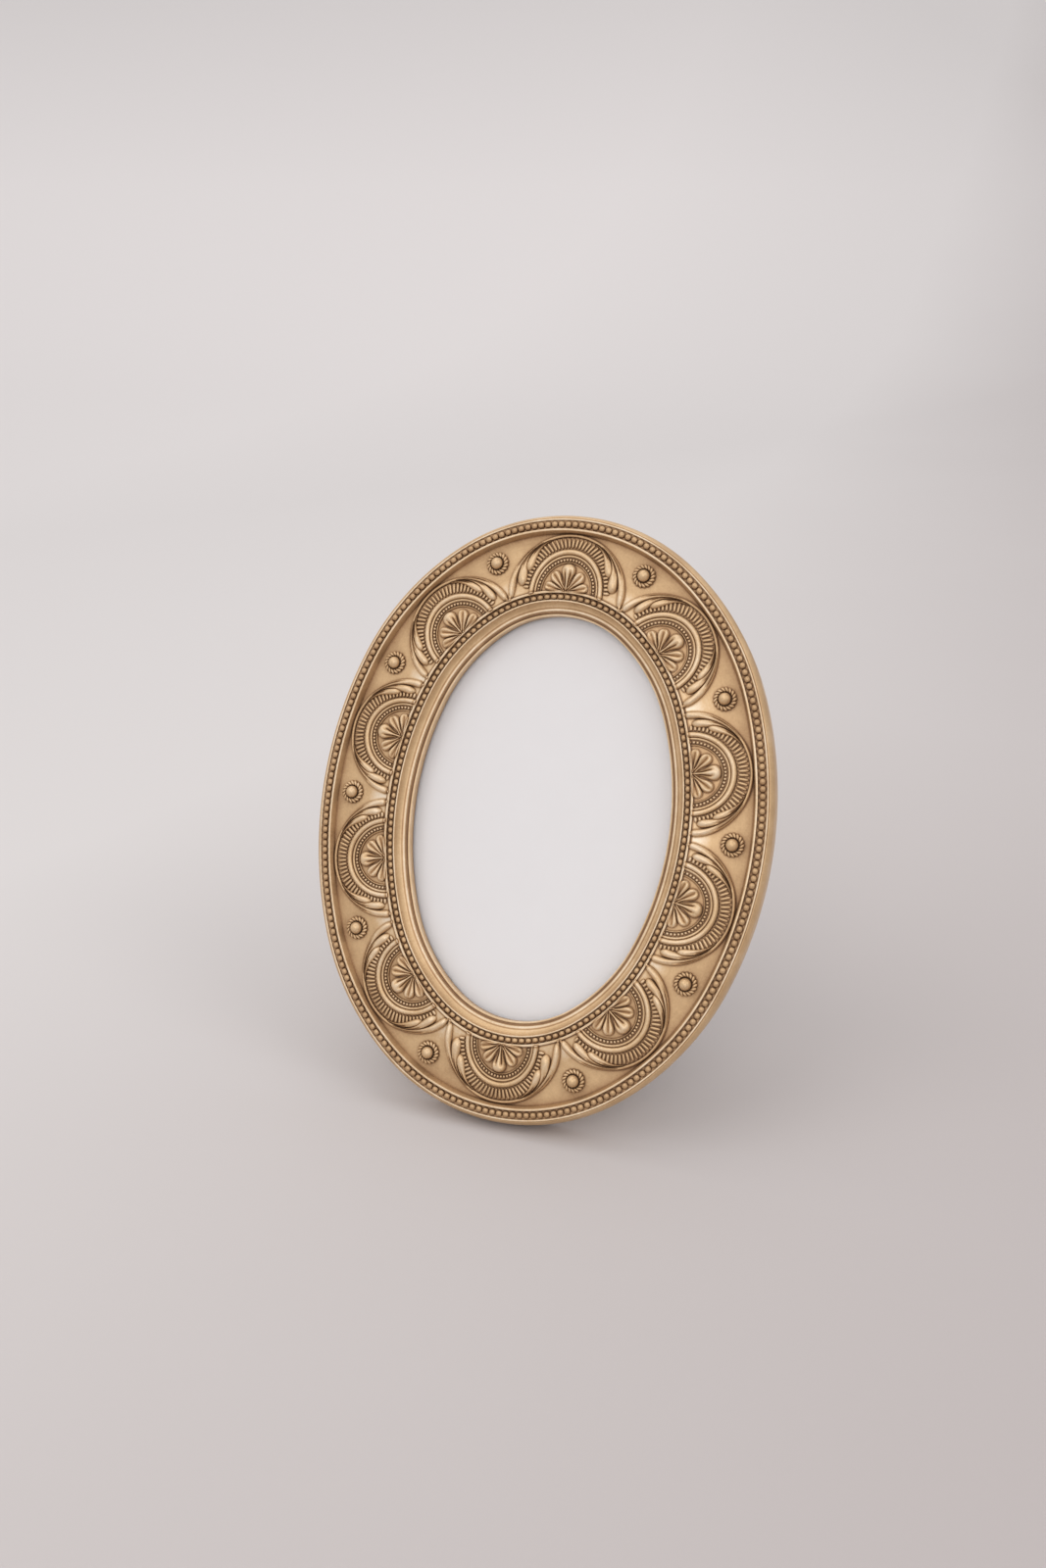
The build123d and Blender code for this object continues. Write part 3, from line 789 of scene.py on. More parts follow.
@dataclass(frozen=True)
class Section:
    """Widths and levels of the moulding's section, as in the solids, outwards from the sight edge."""

    sight_edge: float = -23.2
    sight_level: float = -2.2
    second_fillet: float = -22.4
    second_level: float = -1.75
    cove_inner: float = -21.6
    quirk_level: float = -1.4
    cove_outer: float = -18.6
    cove_level: float = 1.1
    inner_channel: float = -18.1
    inner_channel_level: float = 0.25
    inner_fillet: float = -15.7
    inner_fillet_level: float = 1.75
    field_inner: float = -14.9
    field_inner_level: float = 1.05
    field_outer: float = 5.2
    field_outer_level: float = -0.6
    step_edge: float = 6.2
    step_level: float = 1.9
    outer_channel: float = 6.9
    outer_channel_level: float = 1.0
    shoulder_fillet: float = 9.9
    shoulder_fillet_level: float = 1.4
    shoulder: float = 10.46
    shoulder_level: float = 1.1
    ovolo: float = 10.9
    outer_edge: float = 12.16
    ovolo_level: float = -2.5
    back_edge: float = 11.4
    back_level: float = -11.0
    rabbet_wall: float = -18.2
    lip_level: float = -5.7

    def wear_and_light_span(self) -> tuple[float, float]:
        """Return the offsets where the ramp of rubbing, painted highlights and painted shade starts and ends.
        """
        return self.sight_edge - 0.4, self.outer_edge + 0.2

    def wear_and_light_stops(self) -> list[tuple[float, Colour]]:
        """Work out the tone across the section: rubbed fillets with painted highlights, and painted shade in
        the quirks, at the fillets' feet and on the field towards the outer step.

        Returns:
            Position and grey of the 32 stops of its ramp.
        """
        start, end = self.wear_and_light_span()
        second, cove, field = self.second_fillet, self.cove_inner, self.field_inner
        marks = [
            (start, 0.5), (self.sight_edge, 0.62), (second - 0.25, 0.62), (second - 0.1, 0.0),
            (second + 0.5, 0.0), (second + 0.7, 0.70), (cove + 0.6, 0.70), (cove + 0.8, 0.22),
            (cove + 1.1, 0.22), (cove + 1.3, 0.56), (cove + 1.7, 0.50), (field + 0.45, 0.25),
            (field + 0.9, 0.53), (-3.0, 0.48), (self.field_outer - 0.6, 0.36), (end, 0.5),
        ]
        foot, edge = 0.08, 0.1
        for low, high, top, inner, outer in (
            (self.cove_outer, self.inner_channel, 0.64, 0.40, 0.54),
            (self.inner_fillet, self.field_inner, 0.62, 0.54, 0.02),
            (self.step_edge, self.outer_channel, 0.62, 0.34, 0.48),
            (self.shoulder_fillet, self.shoulder, 0.66, 0.48, 0.46),
        ):
            marks += [(low - foot, inner), (low + edge, top), (high - edge, top), (high + foot, outer)]
        return [((at - start) / (end - start), (value, value, value, 1.0)) for at, value in sorted(marks)]

    def field_level(self, offset: float) -> float:
        """Return the level of the sloping field at this offset."""
        share = (offset - self.field_inner) / (self.field_outer - self.field_inner)
        return self.field_inner_level + share * (self.field_outer_level - self.field_inner_level)


# Helpers for meshes and objects


def edges_in(geometry: Iterable) -> list[bmesh.types.BMEdge]:
    """Return the edges among some elements."""
    return [element for element in geometry if isinstance(element, bmesh.types.BMEdge)]


def verts_in(geometry: Iterable) -> list[bmesh.types.BMVert]:
    """Return the corners among some elements."""
    return [element for element in geometry if isinstance(element, bmesh.types.BMVert)]


def to_mesh(bm: bmesh.types.BMesh) -> bpy.types.Mesh:
    """Write a bmesh to a new mesh and free it.

    Args:
        bm: The bmesh, which can't be used any more.

    Returns:
        The mesh.
    """
    mesh = bpy.data.meshes.new("shape")
    bm.to_mesh(mesh)
    bm.free()
    return mesh


def add_object(name: str, data: bpy.types.ID) -> bpy.types.Object:
    """Put a new object in the scene.

    Args:
        name: The object's name.
        data: Its mesh, light or camera.

    Returns:
        The object.
    """
    made = bpy.data.objects.new(name, data)
    bpy.context.scene.collection.objects.link(made)
    return made


def stamp(bm: bmesh.types.BMesh, template: bpy.types.Mesh, matrix: Matrix) -> None:
    """Add a transformed copy of a template to a bmesh.

    Args:
        bm: Receives the copy.
        template: Mesh to copy.
        matrix: Transform of the copy.
    """
    copy = template.copy()
    copy.transform(matrix)
    bm.from_mesh(copy)
    bpy.data.meshes.remove(copy)


def add_egg(bm: bmesh.types.BMesh, segments: int, rings: int, shape: Callable[[float, float], PlanPoint],
            turn: float = 0.0) -> None:
    """Shape a closed sphere into a long form and add it to a bmesh.

    Args:
        bm: Receives the form.
        segments: Segments around the form.
        rings: Rings from its root to its tip.
        shape: Gives the point at a share of the length and an angle around, 0 to the side and pi / 2 up.
        turn: Degrees by which the form is turned clockwise about the origin.
    """
    form = bmesh.new()
    bmesh.ops.create_uvsphere(form, u_segments=segments, v_segments=rings, radius=1.0)
    for vert in form.verts:
        along = acos(max(-1.0, min(1.0, vert.co.z))) / pi
        around = atan2(vert.co.y, vert.co.x)
        vert.co = shape(along, around)
    bmesh.ops.recalc_face_normals(form, faces=form.faces)
    mesh = to_mesh(form)
    stamp(bm, mesh, Matrix.Rotation(radians(-turn), 4, "Z"))
    bpy.data.meshes.remove(mesh)


def smooth_step(low: float, high: float, value: float) -> float:
    """Return 0 below the low end, 1 above the high end and a smooth rise between."""
    share = max(0.0, min(1.0, (value - low) / (high - low)))
    return share * share * (3 - 2 * share)


def round_corners(bm: bmesh.types.BMesh, corners: Sequence[bmesh.types.BMVert], width: float) -> None:
    """Round some corners of a wire profile.

    Args:
        bm: Holds the wire.
        corners: Corners to round.
        width: Distance taken off each side.
    """
    bmesh.ops.bevel(bm, geom=list(corners), offset=width, offset_type="OFFSET", segments=3, profile=0.5,
                    affect="VERTICES", material=-1, clamp_overlap=True)


def draw_wire(bm: bmesh.types.BMesh, points: Sequence[PlanPoint]) -> list[bmesh.types.BMVert]:
    """Draw a closed wire.

    Args:
        bm: Receives the wire.
        points: Its corners, in order.

    Returns:
        The corners as elements of the bmesh.
    """
    verts = [bm.verts.new(point) for point in points]
    for first, second in zip(verts, verts[1:] + verts[:1]):
        bm.edges.new((first, second))
    return verts


# Sub-assemblies


@dataclass
class BoardPart:
    """Sub-assembly whose pieces are shaped on the board, in millimetres, and placed by the board's matrix."""

    oval: Oval
    section: Section
    board: Board
    finishes: Finishes

    def mark_section(self, bm: bmesh.types.BMesh, rise: Callable[[float, float], float]) -> None:
        """Store where each point lies on the section, for the gold finish.

        Args:
            bm: Shape on the board.
            rise: Gives from offset and level how far a point stands out, 1 at most, or below 0 in a recess.
        """
        layer = bm.verts.layers.float_vector.new(SECTION)
        for vert in bm.verts:
            offset, level = self.oval.offset_of(vert.co.x, vert.co.y), vert.co.z
            vert[layer] = (offset, level, max(-1.0, min(1.0, rise(offset, level))))

    def add_piece(self, bm: bmesh.types.BMesh, name: str, node: str, slot: Slot,
                  smooth_angle: float) -> None:
        """Turn a finished shape into a piece that rides on the frame.

        Args:
            bm: Shape in the row frame.
            name: Piece name.
            node: CAD node that it stands for.
            slot: Material slot of the record, which tells the finish.
            smooth_angle: Edges turning by more than this many degrees stay sharp.
        """
        mesh = to_mesh(bm)
        mesh.name = name
        mesh.materials.append(self.finishes[slot])
        mesh.shade_smooth()
        mesh.set_sharp_from_angle(angle=radians(smooth_angle))
        piece = add_object(name, mesh)
        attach(piece, "frame")
        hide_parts(node)
        LOG.info("%s: %d faces", name, len(mesh.polygons))


@dataclass
class Moulding(BoardPart):
    """The swept body of the frame with its two rows of beads."""

    corner_width: float = 0.14
    shortest_side: float = 0.3
    degrees_per_step: float = 1.143
    cove_steps: int = 10
    ovolo_steps: int = 8
    outer_bead_offset: float = 8.4
    outer_bead_count: int = 232
    outer_bead_radius: float = 1.13
    outer_bead_lift: float = 0.08
    inner_bead_offset: float = -16.9
    inner_bead_count: int = 168
    inner_bead_radius: float = 1.06
    inner_bead_lift: float = 0.15
    bead_stretch: float = 1.14

    def _cove(self) -> list[tuple[float, float]]:
        """Work out the hollow of the cove as an arc.

        Returns:
            Its points, from the outer end to the inner end.
        """
        s = self.section
        start, end = Vector((s.cove_outer, s.cove_level)), Vector((s.cove_inner, s.quirk_level))
        chord = (end - start).length
        sag = (s.cove_outer - s.cove_inner) / 4
        radius = (chord * chord / 4 + sag * sag) / (2 * sag)
        half_turn = asin(chord / 2 / radius)
        across = (end - start).normalized()
        side = Vector((-across.y, across.x))
        centre = (start + end) / 2 - side * (radius - sag)
        points = []
        for step in range(self.cove_steps + 1):
            turn = half_turn * (2 * step / self.cove_steps - 1)
            point = centre + across * radius * sin(turn) + side * radius * cos(turn)
            points.append((point.x, point.y))
        return points

    def _ovolo(self) -> list[tuple[float, float]]:
        """Work out the round of the outer edge, tangent to the side wall and rising to the shoulder.

        Returns:
            Its points, from the side wall up.
        """
        s = self.section
        width, height = s.outer_edge - s.ovolo, s.shoulder_level - s.ovolo_level
        radius = (width * width + height * height) / (2 * width)
        points = []
        for step in range(self.ovolo_steps + 1):
            turn = asin(height / radius) * step / self.ovolo_steps
            points.append((s.outer_edge - radius * (1 - cos(turn)), s.ovolo_level + radius * sin(turn)))
        return points

    def _profile(self) -> list[tuple[float, float]]:
        """List the corners of the section.

        Returns:
            Offset and level of each corner, in order.
        """
        s = self.section
        return [
            (s.cove_inner, s.second_level), (s.second_fillet, s.second_level),
            (s.second_fillet, s.sight_level), (s.sight_edge, s.sight_level), (s.sight_edge, s.lip_level),
            (s.rabbet_wall, s.lip_level), (s.rabbet_wall, s.back_level), (s.back_edge, s.back_level),
            *self._ovolo(), (s.shoulder, s.shoulder_level), (s.shoulder, s.shoulder_fillet_level),
            (s.shoulder_fillet, s.shoulder_fillet_level), (s.shoulder_fillet, s.outer_channel_level),
            (s.outer_channel, s.outer_channel_level), (s.outer_channel, s.step_level),
            (s.step_edge, s.step_level), (s.field_outer, s.field_outer_level),
            (s.field_inner, s.field_inner_level), (s.field_inner, s.inner_fillet_level),
            (s.inner_fillet, s.inner_fillet_level), (s.inner_fillet, s.inner_channel_level),
            (s.inner_channel, s.inner_channel_level), (s.inner_channel, s.cove_level), *self._cove(),
        ]

    def build_body(self) -> None:
        """Spin the section about the centre of each arc in turn, then cut it flat on the floor."""
        arcs = self.oval.arcs()
        first = arcs[0]
        heading = Vector((cos(radians(first.start)), sin(radians(first.start))))
        points = []
        for offset, level in self._profile():
            flat = Vector(first.centre) + heading * (first.radius + offset)
            points.append((flat.x, flat.y, level))
        bm = bmesh.new()
        corners = draw_wire(bm, points)
        sharp = [v for v in corners if min(e.calc_length() for e in v.link_edges) > self.shortest_side]
        round_corners(bm, sharp, self.corner_width)
        ring = list(bm.verts) + list(bm.edges)
        for arc in arcs:
            steps = ceil(arc.sweep * sqrt(arc.radius / first.radius) / self.degrees_per_step)
            spun = bmesh.ops.spin(bm, geom=ring, cent=(*arc.centre, 0.0), axis=(0, 0, 1),
                                  angle=radians(arc.sweep), steps=steps, use_merge=False, use_duplicate=False)
            ring = spun["geom_last"]
        bmesh.ops.remove_doubles(bm, verts=bm.verts, dist=MERGE_GAP)
        bmesh.ops.recalc_face_normals(bm, faces=bm.faces)
        self.mark_section(bm, lambda offset, level: 0.0)
        bm.transform(self.board.matrix)
        cut = bmesh.ops.bisect_plane(bm, geom=list(bm.verts) + list(bm.edges) + list(bm.faces), dist=1e-6,
                                     plane_co=(0, 0, 0), plane_no=(0, 0, 1), clear_inner=True)
        rim = edges_in(cut["geom_cut"])
        bmesh.ops.triangle_fill(bm, use_beauty=True, use_dissolve=False, edges=rim)
        bmesh.ops.recalc_face_normals(bm, faces=bm.faces)
        self.add_piece(bm, "moulding_body", "frame_moulding", Slot.GOLD, smooth_angle=32.0)

    def build_beads(self, name: str, offset: float, count: int, radius: float, level: float) -> None:
        """Lay a row of beads in a channel.

        Args:
            name: Piece name.
            offset: Offset of the row's middle.
            count: Number of beads.
            radius: Radius of a bead.
            level: Level of the beads' centres.
        """
        bead = bmesh.new()
        bmesh.ops.create_uvsphere(bead, u_segments=10, v_segments=7, radius=radius)
        template = to_mesh(bead)
        bm = bmesh.new()
        stretch = Matrix.Diagonal((1, self.bead_stretch, 1, 1))
        for angle in self.oval.walk(offset, count):
            place = Matrix.Translation((*self.oval.point(angle, offset), level))
            stamp(bm, template, place @ Matrix.Rotation(radians(angle), 4, "Z") @ stretch)
        self.mark_section(bm, lambda _, height: min(0.0, (level - height) / radius) / 2)
        bm.transform(self.board.matrix)
        self.add_piece(bm, name, "frame_moulding", Slot.GOLD, smooth_angle=60.0)

    def build(self) -> None:
        """Build the body and both bead rows."""
        self.build_body()
        s = self.section
        self.build_beads("outer_bead_row", self.outer_bead_offset, self.outer_bead_count,
                         self.outer_bead_radius, s.outer_channel_level + self.outer_bead_lift)
        self.build_beads("inner_bead_row", self.inner_bead_offset, self.inner_bead_count,
                         self.inner_bead_radius, s.inner_channel_level + self.inner_bead_lift)


@dataclass(frozen=True)
class Band:
    """Concentric band of an arch, domed, or flat where it has no steps."""

    name: str
    inner: float
    outer: float
    height: float
    steps: int = 0
    shoulder: float = 0.0
    shaded: float = 0.0

    def profile(self, sink: float) -> list[tuple[float, float]]:
        """Give the band's cross-section.

        Args:
            sink: Depth of its underside below the field.

        Returns:
            Radius and height of each corner.
        """
        if not self.steps:
            top = [(self.inner, self.height), (self.outer, self.height)]
            return [(self.inner, -sink), *top, (self.outer, -sink)]
        middle, half = (self.inner + self.outer) / 2, (self.outer - self.inner) / 2
        crown = self.height - self.shoulder
        turns = [pi * step / self.steps for step in range(self.steps + 1)]
        dome = [(middle + half * cos(turn), self.shoulder + crown * sin(turn)) for turn in turns]
        return [(self.outer, -sink), *dome, (self.inner, -sink)]


@dataclass(frozen=True)
class Leaf:
    """Drop on an arch's flank: a round root near its foot and a grooved tail that runs up along the rim.

    Starts and ends are shares of the way from its root to its tip.
    """

    root_angle: float
    tip_angle: float
    root_radius: float
    tip_radius: float
    half_width: float
    tail_share: float
    height: float
    bulb: float = 0.2
    groove_depth: float = 0.45
    groove_place: float = 0.2
    groove_width: float = 0.2
    groove_start: float = 0.25
    groove_full: float = 0.5
    narrow_start: float = 0.86
    low_start: float = 0.9
    least_crown_share: float = 0.6

    def point(self, side: int, sink: float, along: float, around: float) -> PlanPoint:
        """Return a point of the leaf's skin.

        Args:
            side: 1 on the right flank and -1 on the left one.
            sink: Depth of its underside.
            along: Share of the way from root to tip.
            around: Angle around it, 0 to the side and pi / 2 up.

        Returns:
            The point on the arch's plan.
        """
        share = (1 - cos(pi * along)) / 2
        turn = radians(self.root_angle + (self.tip_angle - self.root_angle) * share)
        radius = self.root_radius + (self.tip_radius - self.root_radius) * smooth_step(0.0, 1.0, share)
        bulb = sqrt(max(0.0, 1 - ((self.bulb - share) / self.bulb) ** 2)) if share < self.bulb else 1.0
        taper = 1 - (1 - self.tail_share) * smooth_step(self.bulb, 1.0, share)
        narrowing = 1 - smooth_step(self.narrow_start, 1.0, share)
        radius += self.half_width * bulb * taper * narrowing * cos(around)
        rise = sin(around)
        fullness = self.least_crown_share + (1 - self.least_crown_share) * bulb * taper
        crown = self.height * fullness * bulb * (1 - smooth_step(self.low_start, 1.0, share))
        groove = self.groove_depth * exp(-((cos(around) - self.groove_place) / self.groove_width) ** 2)
        groove *= smooth_step(self.groove_start, self.groove_full, share)
        level = crown * rise * (1 - groove) if rise > 0 else sink * rise
        return (side * radius * sin(turn), radius * cos(turn), level)


@dataclass(frozen=True)
class Flute:
    """Groove along a lobe's stem, or a pair of them beside its middle, that fades towards the tip."""

    place: float
    width: float
    fade_start: float
    fade_end: float
    fade: float
    depth: float = 0.5

    def depth_at(self, share: float, across: float) -> float:
        """Find how deep the groove is.

        Args:
            share: Share of the way from root to tip.
            across: Place across the lobe, from -1 to 1.

        Returns:
            Depth, as a share of the lobe's height.
        """
        left = 1 - self.fade * smooth_step(self.fade_start, self.fade_end, share)
        return self.depth * left * exp(-(((abs(across) - self.place) / self.width) ** 2))


@dataclass(frozen=True)
class Lobe:
    """Spoon-shaped lobe of a palmette, with a raised edge and a fluted stem.

    Starts and ends are shares of the way from its root to its tip.
    """

    turn: float
    length: float
    half_width: float
    height: float
    flute: Flute = Flute(place=0.0, width=0.32, fade_start=0.8, fade_end=1.0, fade=0.5)
    root: float = 0.3
    bowl: float = 0.76
    stem_share: float = 0.34
    root_start: float = -0.02
    root_end: float = 0.04
    stem_end: float = 0.24
    bowl_start: float = 0.74
    stem_height_share: float = 0.55
    rise_start: float = 0.2
    rise_end: float = 0.8
    edge_power: int = 3
    tip_start: float = 0.8
    tip_power: float = 2.5

    def point(self, sink: float, along: float, around: float) -> PlanPoint:
        """Return a point of the lobe's skin.

        Args:
            sink: Depth of its underside.
            along: Share of the way from root to tip.
            around: Angle around it, 0 to the side and pi / 2 up.

        Returns:
            The point on the plan, with the lobe upright.
        """
        share = (1 - cos(pi * along)) / 2
        if share > self.bowl:
            width = self.half_width * sqrt(max(0.0, 1 - ((share - self.bowl) / (1 - self.bowl)) ** 2))
        else:
            widening = smooth_step(self.stem_end, self.bowl_start, share)
            width = self.half_width * (self.stem_share + (1 - self.stem_share) * widening)
        width *= smooth_step(self.root_start, self.root_end, share)
        across, rise = cos(around), sin(around)
        growth = smooth_step(self.rise_start, self.rise_end, share)
        crown = self.height * (self.stem_height_share + (1 - self.stem_height_share) * growth)
        edge = sqrt(max(0.0, 1 - abs(across) ** self.edge_power))
        past_start = max(0.0, (share - self.tip_start) / (1 - self.tip_start))
        tip = sqrt(max(0.0, 1 - past_start ** self.tip_power))
        level = crown * (edge - self.flute.depth_at(share, across)) * tip if rise > 0 else sink * rise
        return (width * across, self.root + self.length * share, level)


@dataclass
class ArchOrnament(BoardPart):
    """Arch with ribs, leaves, round moulding, beads and palmette, repeated on the field.

    A plan has x along the moulding, y outwards from the inner fillet and a height above the field. An arch is
    a half circle on two straight legs.
    """

    shares: tuple[float, ...] = (0.0, 0.4187, 0.8105)
    narrowings: tuple[float, ...] = (0.12, 0.07, 0.06)
    centre_offset: float = -15.3
    fillet_overlap: float = 0.25
    leg_length: float = 5.0
    leg_steps: int = 4
    arc_steps: int = 44
    sink: float = 0.5
    full_rise: float = 1.6
    bands: tuple[Band, ...] = (
        Band("arch_rims", 19.5, 20.6, 1.15, 6, 0.45),
        Band("arch_mouldings", 13.2, 15.2, 1.55, 8, 0.35),
        Band("arch_steps", 12.2, 13.35, 0.8, 5, 0.3),
        Band("palmette_lines", 10.1, 10.65, 0.75, 4, 0.3),
        Band("rib_beds", 15.3, 19.4, 0.3),
        Band("palmette_grounds", 0.15, 12.3, 0.2, shaded=0.55),
    )
    rib_count: int = 37
    rib_spread: float = 176.0
    rib_inner: float = 15.45
    rib_outer: float = 19.25
    rib_shortening: float = 2.2
    last_long_rib: float = 38.0
    first_short_rib: float = 62.0
    rib_half_width: float = 0.58
    rib_height: float = 0.85
    rib_lift: float = 0.25
    bead_radius: float = 0.55
    bead_arch_radius: float = 11.35
    bead_pitch: float = 1.27
    bead_lift: float = 0.42
    bead_shaded: float = -0.15
    leaves: tuple[Leaf, ...] = (
        Leaf(104.0, 26.0, 19.95, 20.05, 1.3, 0.32, 1.9),
        Leaf(88.0, 38.0, 17.45, 19.7, 1.2, 0.26, 2.0),
        Leaf(70.0, 22.0, 17.2, 19.5, 1.1, 0.24, 1.9),
    )
    lobes: tuple[Lobe, ...] = (
        Lobe(0.0, 9.7, 2.9, 2.3, Flute(place=0.42, width=0.16, fade_start=0.6, fade_end=0.86, fade=1.0)),
        Lobe(44.0, 8.9, 2.15, 2.0), Lobe(-44.0, 8.9, 2.15, 2.0),
        Lobe(78.0, 8.8, 1.9, 1.7), Lobe(-78.0, 8.8, 1.9, 1.7),
    )
    palmette_shaded: float = 0.35

    def _seat(self, mesh: bpy.types.Mesh, angle: float, narrowing: float) -> bpy.types.Mesh:
        """Lay a plan on the field at one place of the oval.

        Args:
            mesh: Plan mesh.
            angle: Normal angle of the place.
            narrowing: Share by which the arch is drawn in inside its ribs.

        Returns:
            A copy on the board.
        """
        copy = mesh.copy()
        centre_u, centre_v = self.oval.point(angle, self.centre_offset)
        right, up = cos(radians(angle)), sin(radians(angle))
        arc = self.oval.arc_at(angle)
        base = arc.radius + self.centre_offset
        edge = arc.radius + self.section.field_inner - self.fillet_overlap
        for vert in copy.vertices:
            x, y, height = vert.co
            x *= 1 - narrowing * (1 - smooth_step(self.rib_inner, self.rib_outer, hypot(x, max(y, 0.0))))
            if y < 0:
                drop = max(base - sqrt(edge * edge - x * x), 0.0)
                y *= drop / self.leg_length
            u = centre_u + x * up + y * right
            v = centre_v - x * right + y * up
            level = self.section.field_level(self.oval.offset_of(u, v))
            vert.co = (u, v, level + height)
        return copy

    def _repeat(self, name: str, plan: bpy.types.Mesh, smooth_angle: float, shaded: float = 0.0) -> None:
        """Repeat a plan under each arch.

        Args:
            name: Piece name.
            plan: Plan mesh.
            smooth_angle: Edges turning by more than this stay sharp.
            shaded: How much darker the whole piece is painted, as patina and painted shade, or below 0 how
                much lighter.
        """
        bm = bmesh.new()
        for share, narrowing in zip(self.shares, self.narrowings):
            for angle in self.oval.angles_at(share):
                seated = self._seat(plan, angle, narrowing)
                bm.from_mesh(seated)
                bpy.data.meshes.remove(seated)
        bmesh.ops.recalc_face_normals(bm, faces=bm.faces)
        field = self.section.field_level
        self.mark_section(bm, lambda offset, level: max(0.0, level - field(offset)) / self.full_rise - shaded)
        bm.transform(self.board.matrix)
        self.add_piece(bm, name, "frame_moulding", Slot.GOLD, smooth_angle)

    def _stilted(self, profile: Sequence[tuple[float, float]]) -> bpy.types.Mesh:
        """Run a profile up one leg, round the arch and down the other leg.

        Args:
            profile: Radius and height of each corner of the closed profile.

        Returns:
            The plan mesh.
        """
        bm = bmesh.new()
        start = draw_wire(bm, [(radius, -self.leg_length, height) for radius, height in profile])
        bm.faces.new(start)
        up = Vector((0, self.leg_length / self.leg_steps, 0))
        ring = self._run(bm, list(start) + list(bm.edges), up)
        spun = bmesh.ops.spin(bm, geom=ring, cent=(0, 0, 0), axis=(0, 0, 1), angle=pi, steps=self.arc_steps,
                              use_merge=False, use_duplicate=False)
        ring = self._run(bm, spun["geom_last"], -up)
        bmesh.ops.edgeloop_fill(bm, edges=edges_in(ring))
        bmesh.ops.recalc_face_normals(bm, faces=bm.faces)
        return to_mesh(bm)

    def _run(self, bm: bmesh.types.BMesh, ring: list, step: Vector) -> list:
        """Extrude a ring of edges along one leg.

        Args:
            bm: Shape in work.
            ring: Corners and edges of the ring.
            step: The way of each of the leg's steps.

        Returns:
            Corners and edges of the last ring.
        """
        for _ in range(self.leg_steps):
            made = bmesh.ops.extrude_edge_only(bm, edges=edges_in(ring))["geom"]
            verts = verts_in(made)
            bmesh.ops.translate(bm, vec=step, verts=verts)
            new = set(verts)
            ring = verts + [edge for edge in edges_in(made) if new.issuperset(edge.verts)]
        return ring

    def build_bands(self) -> None:
        """Build the rim, the round moulding, its step, the line round the palmette and both grounds."""
        for band in self.bands:
            self._repeat(band.name, self._stilted(band.profile(self.sink)), 50.0, band.shaded)

    def _rib_point(self, outer: float, along: float, around: float) -> PlanPoint:
        """Return a point of a rib's skin, a bar with rounded ends and a domed top.

        Args:
            outer: Radius of its outer end.
            along: Share of the way from end to end.
            around: Angle around it, 0 to the side and pi / 2 up.

        Returns:
            The point on the plan, with the rib upright.
        """
        reach = -cos(pi * along)
        fullness = (1 - reach ** 4) ** 0.5 if abs(reach) < 1 else 0.0
        rise = sin(around)
        height = self.rib_height * fullness ** 0.5 * rise if rise > 0 else self.sink * rise
        radius = (self.rib_inner + outer) / 2 + (outer - self.rib_inner) / 2 * reach
        return (self.rib_half_width * fullness * cos(around), radius, height + self.rib_lift)

    def build_ribs(self) -> None:
        """Build the fan of ribs, shorter towards the flanks where the leaves lie."""
        bm = bmesh.new()
        for rib in range(self.rib_count):
            turn = self.rib_spread * (rib / (self.rib_count - 1) - 0.5)
            shortness = smooth_step(self.last_long_rib, self.first_short_rib, abs(turn))
            outer = self.rib_outer - self.rib_shortening * shortness
            add_egg(bm, 8, 8, partial(self._rib_point, outer), turn)
        self._repeat("arch_ribs", to_mesh(bm), 70.0)

    def build_beads(self) -> None:
        """Build the small beads round the palmette."""
        bead = bmesh.new()
        bmesh.ops.create_uvsphere(bead, u_segments=8, v_segments=6, radius=self.bead_radius)
        template = to_mesh(bead)
        bm = bmesh.new()
        count = round(pi * self.bead_arch_radius / self.bead_pitch)
        for number in range(count + 1):
            turn = pi * number / count
            x, y = self.bead_arch_radius * cos(turn), self.bead_arch_radius * sin(turn)
            stamp(bm, template, Matrix.Translation((x, y, self.bead_lift)))
        self._repeat("arch_beads", to_mesh(bm), 70.0, self.bead_shaded)

    def build_leaves(self) -> None:
        """Build the three leaves on each flank."""
        bm = bmesh.new()
        for leaf in self.leaves:
            for side in (1, -1):
                add_egg(bm, 20, 26, partial(leaf.point, side, self.sink))
        self._repeat("arch_leaves", to_mesh(bm), 60.0)

    def build_palmette(self) -> None:
        """Build the five lobes of the palmette."""
        bm = bmesh.new()
        for lobe in self.lobes:
            add_egg(bm, 32, 20, partial(lobe.point, self.sink), lobe.turn)
        self._repeat("arch_palmettes", to_mesh(bm), 60.0, self.palmette_shaded)

    def build(self) -> None:
        """Build every part of the arches."""
        self.build_bands()
        self.build_ribs()
        self.build_beads()
        self.build_leaves()
        self.build_palmette()


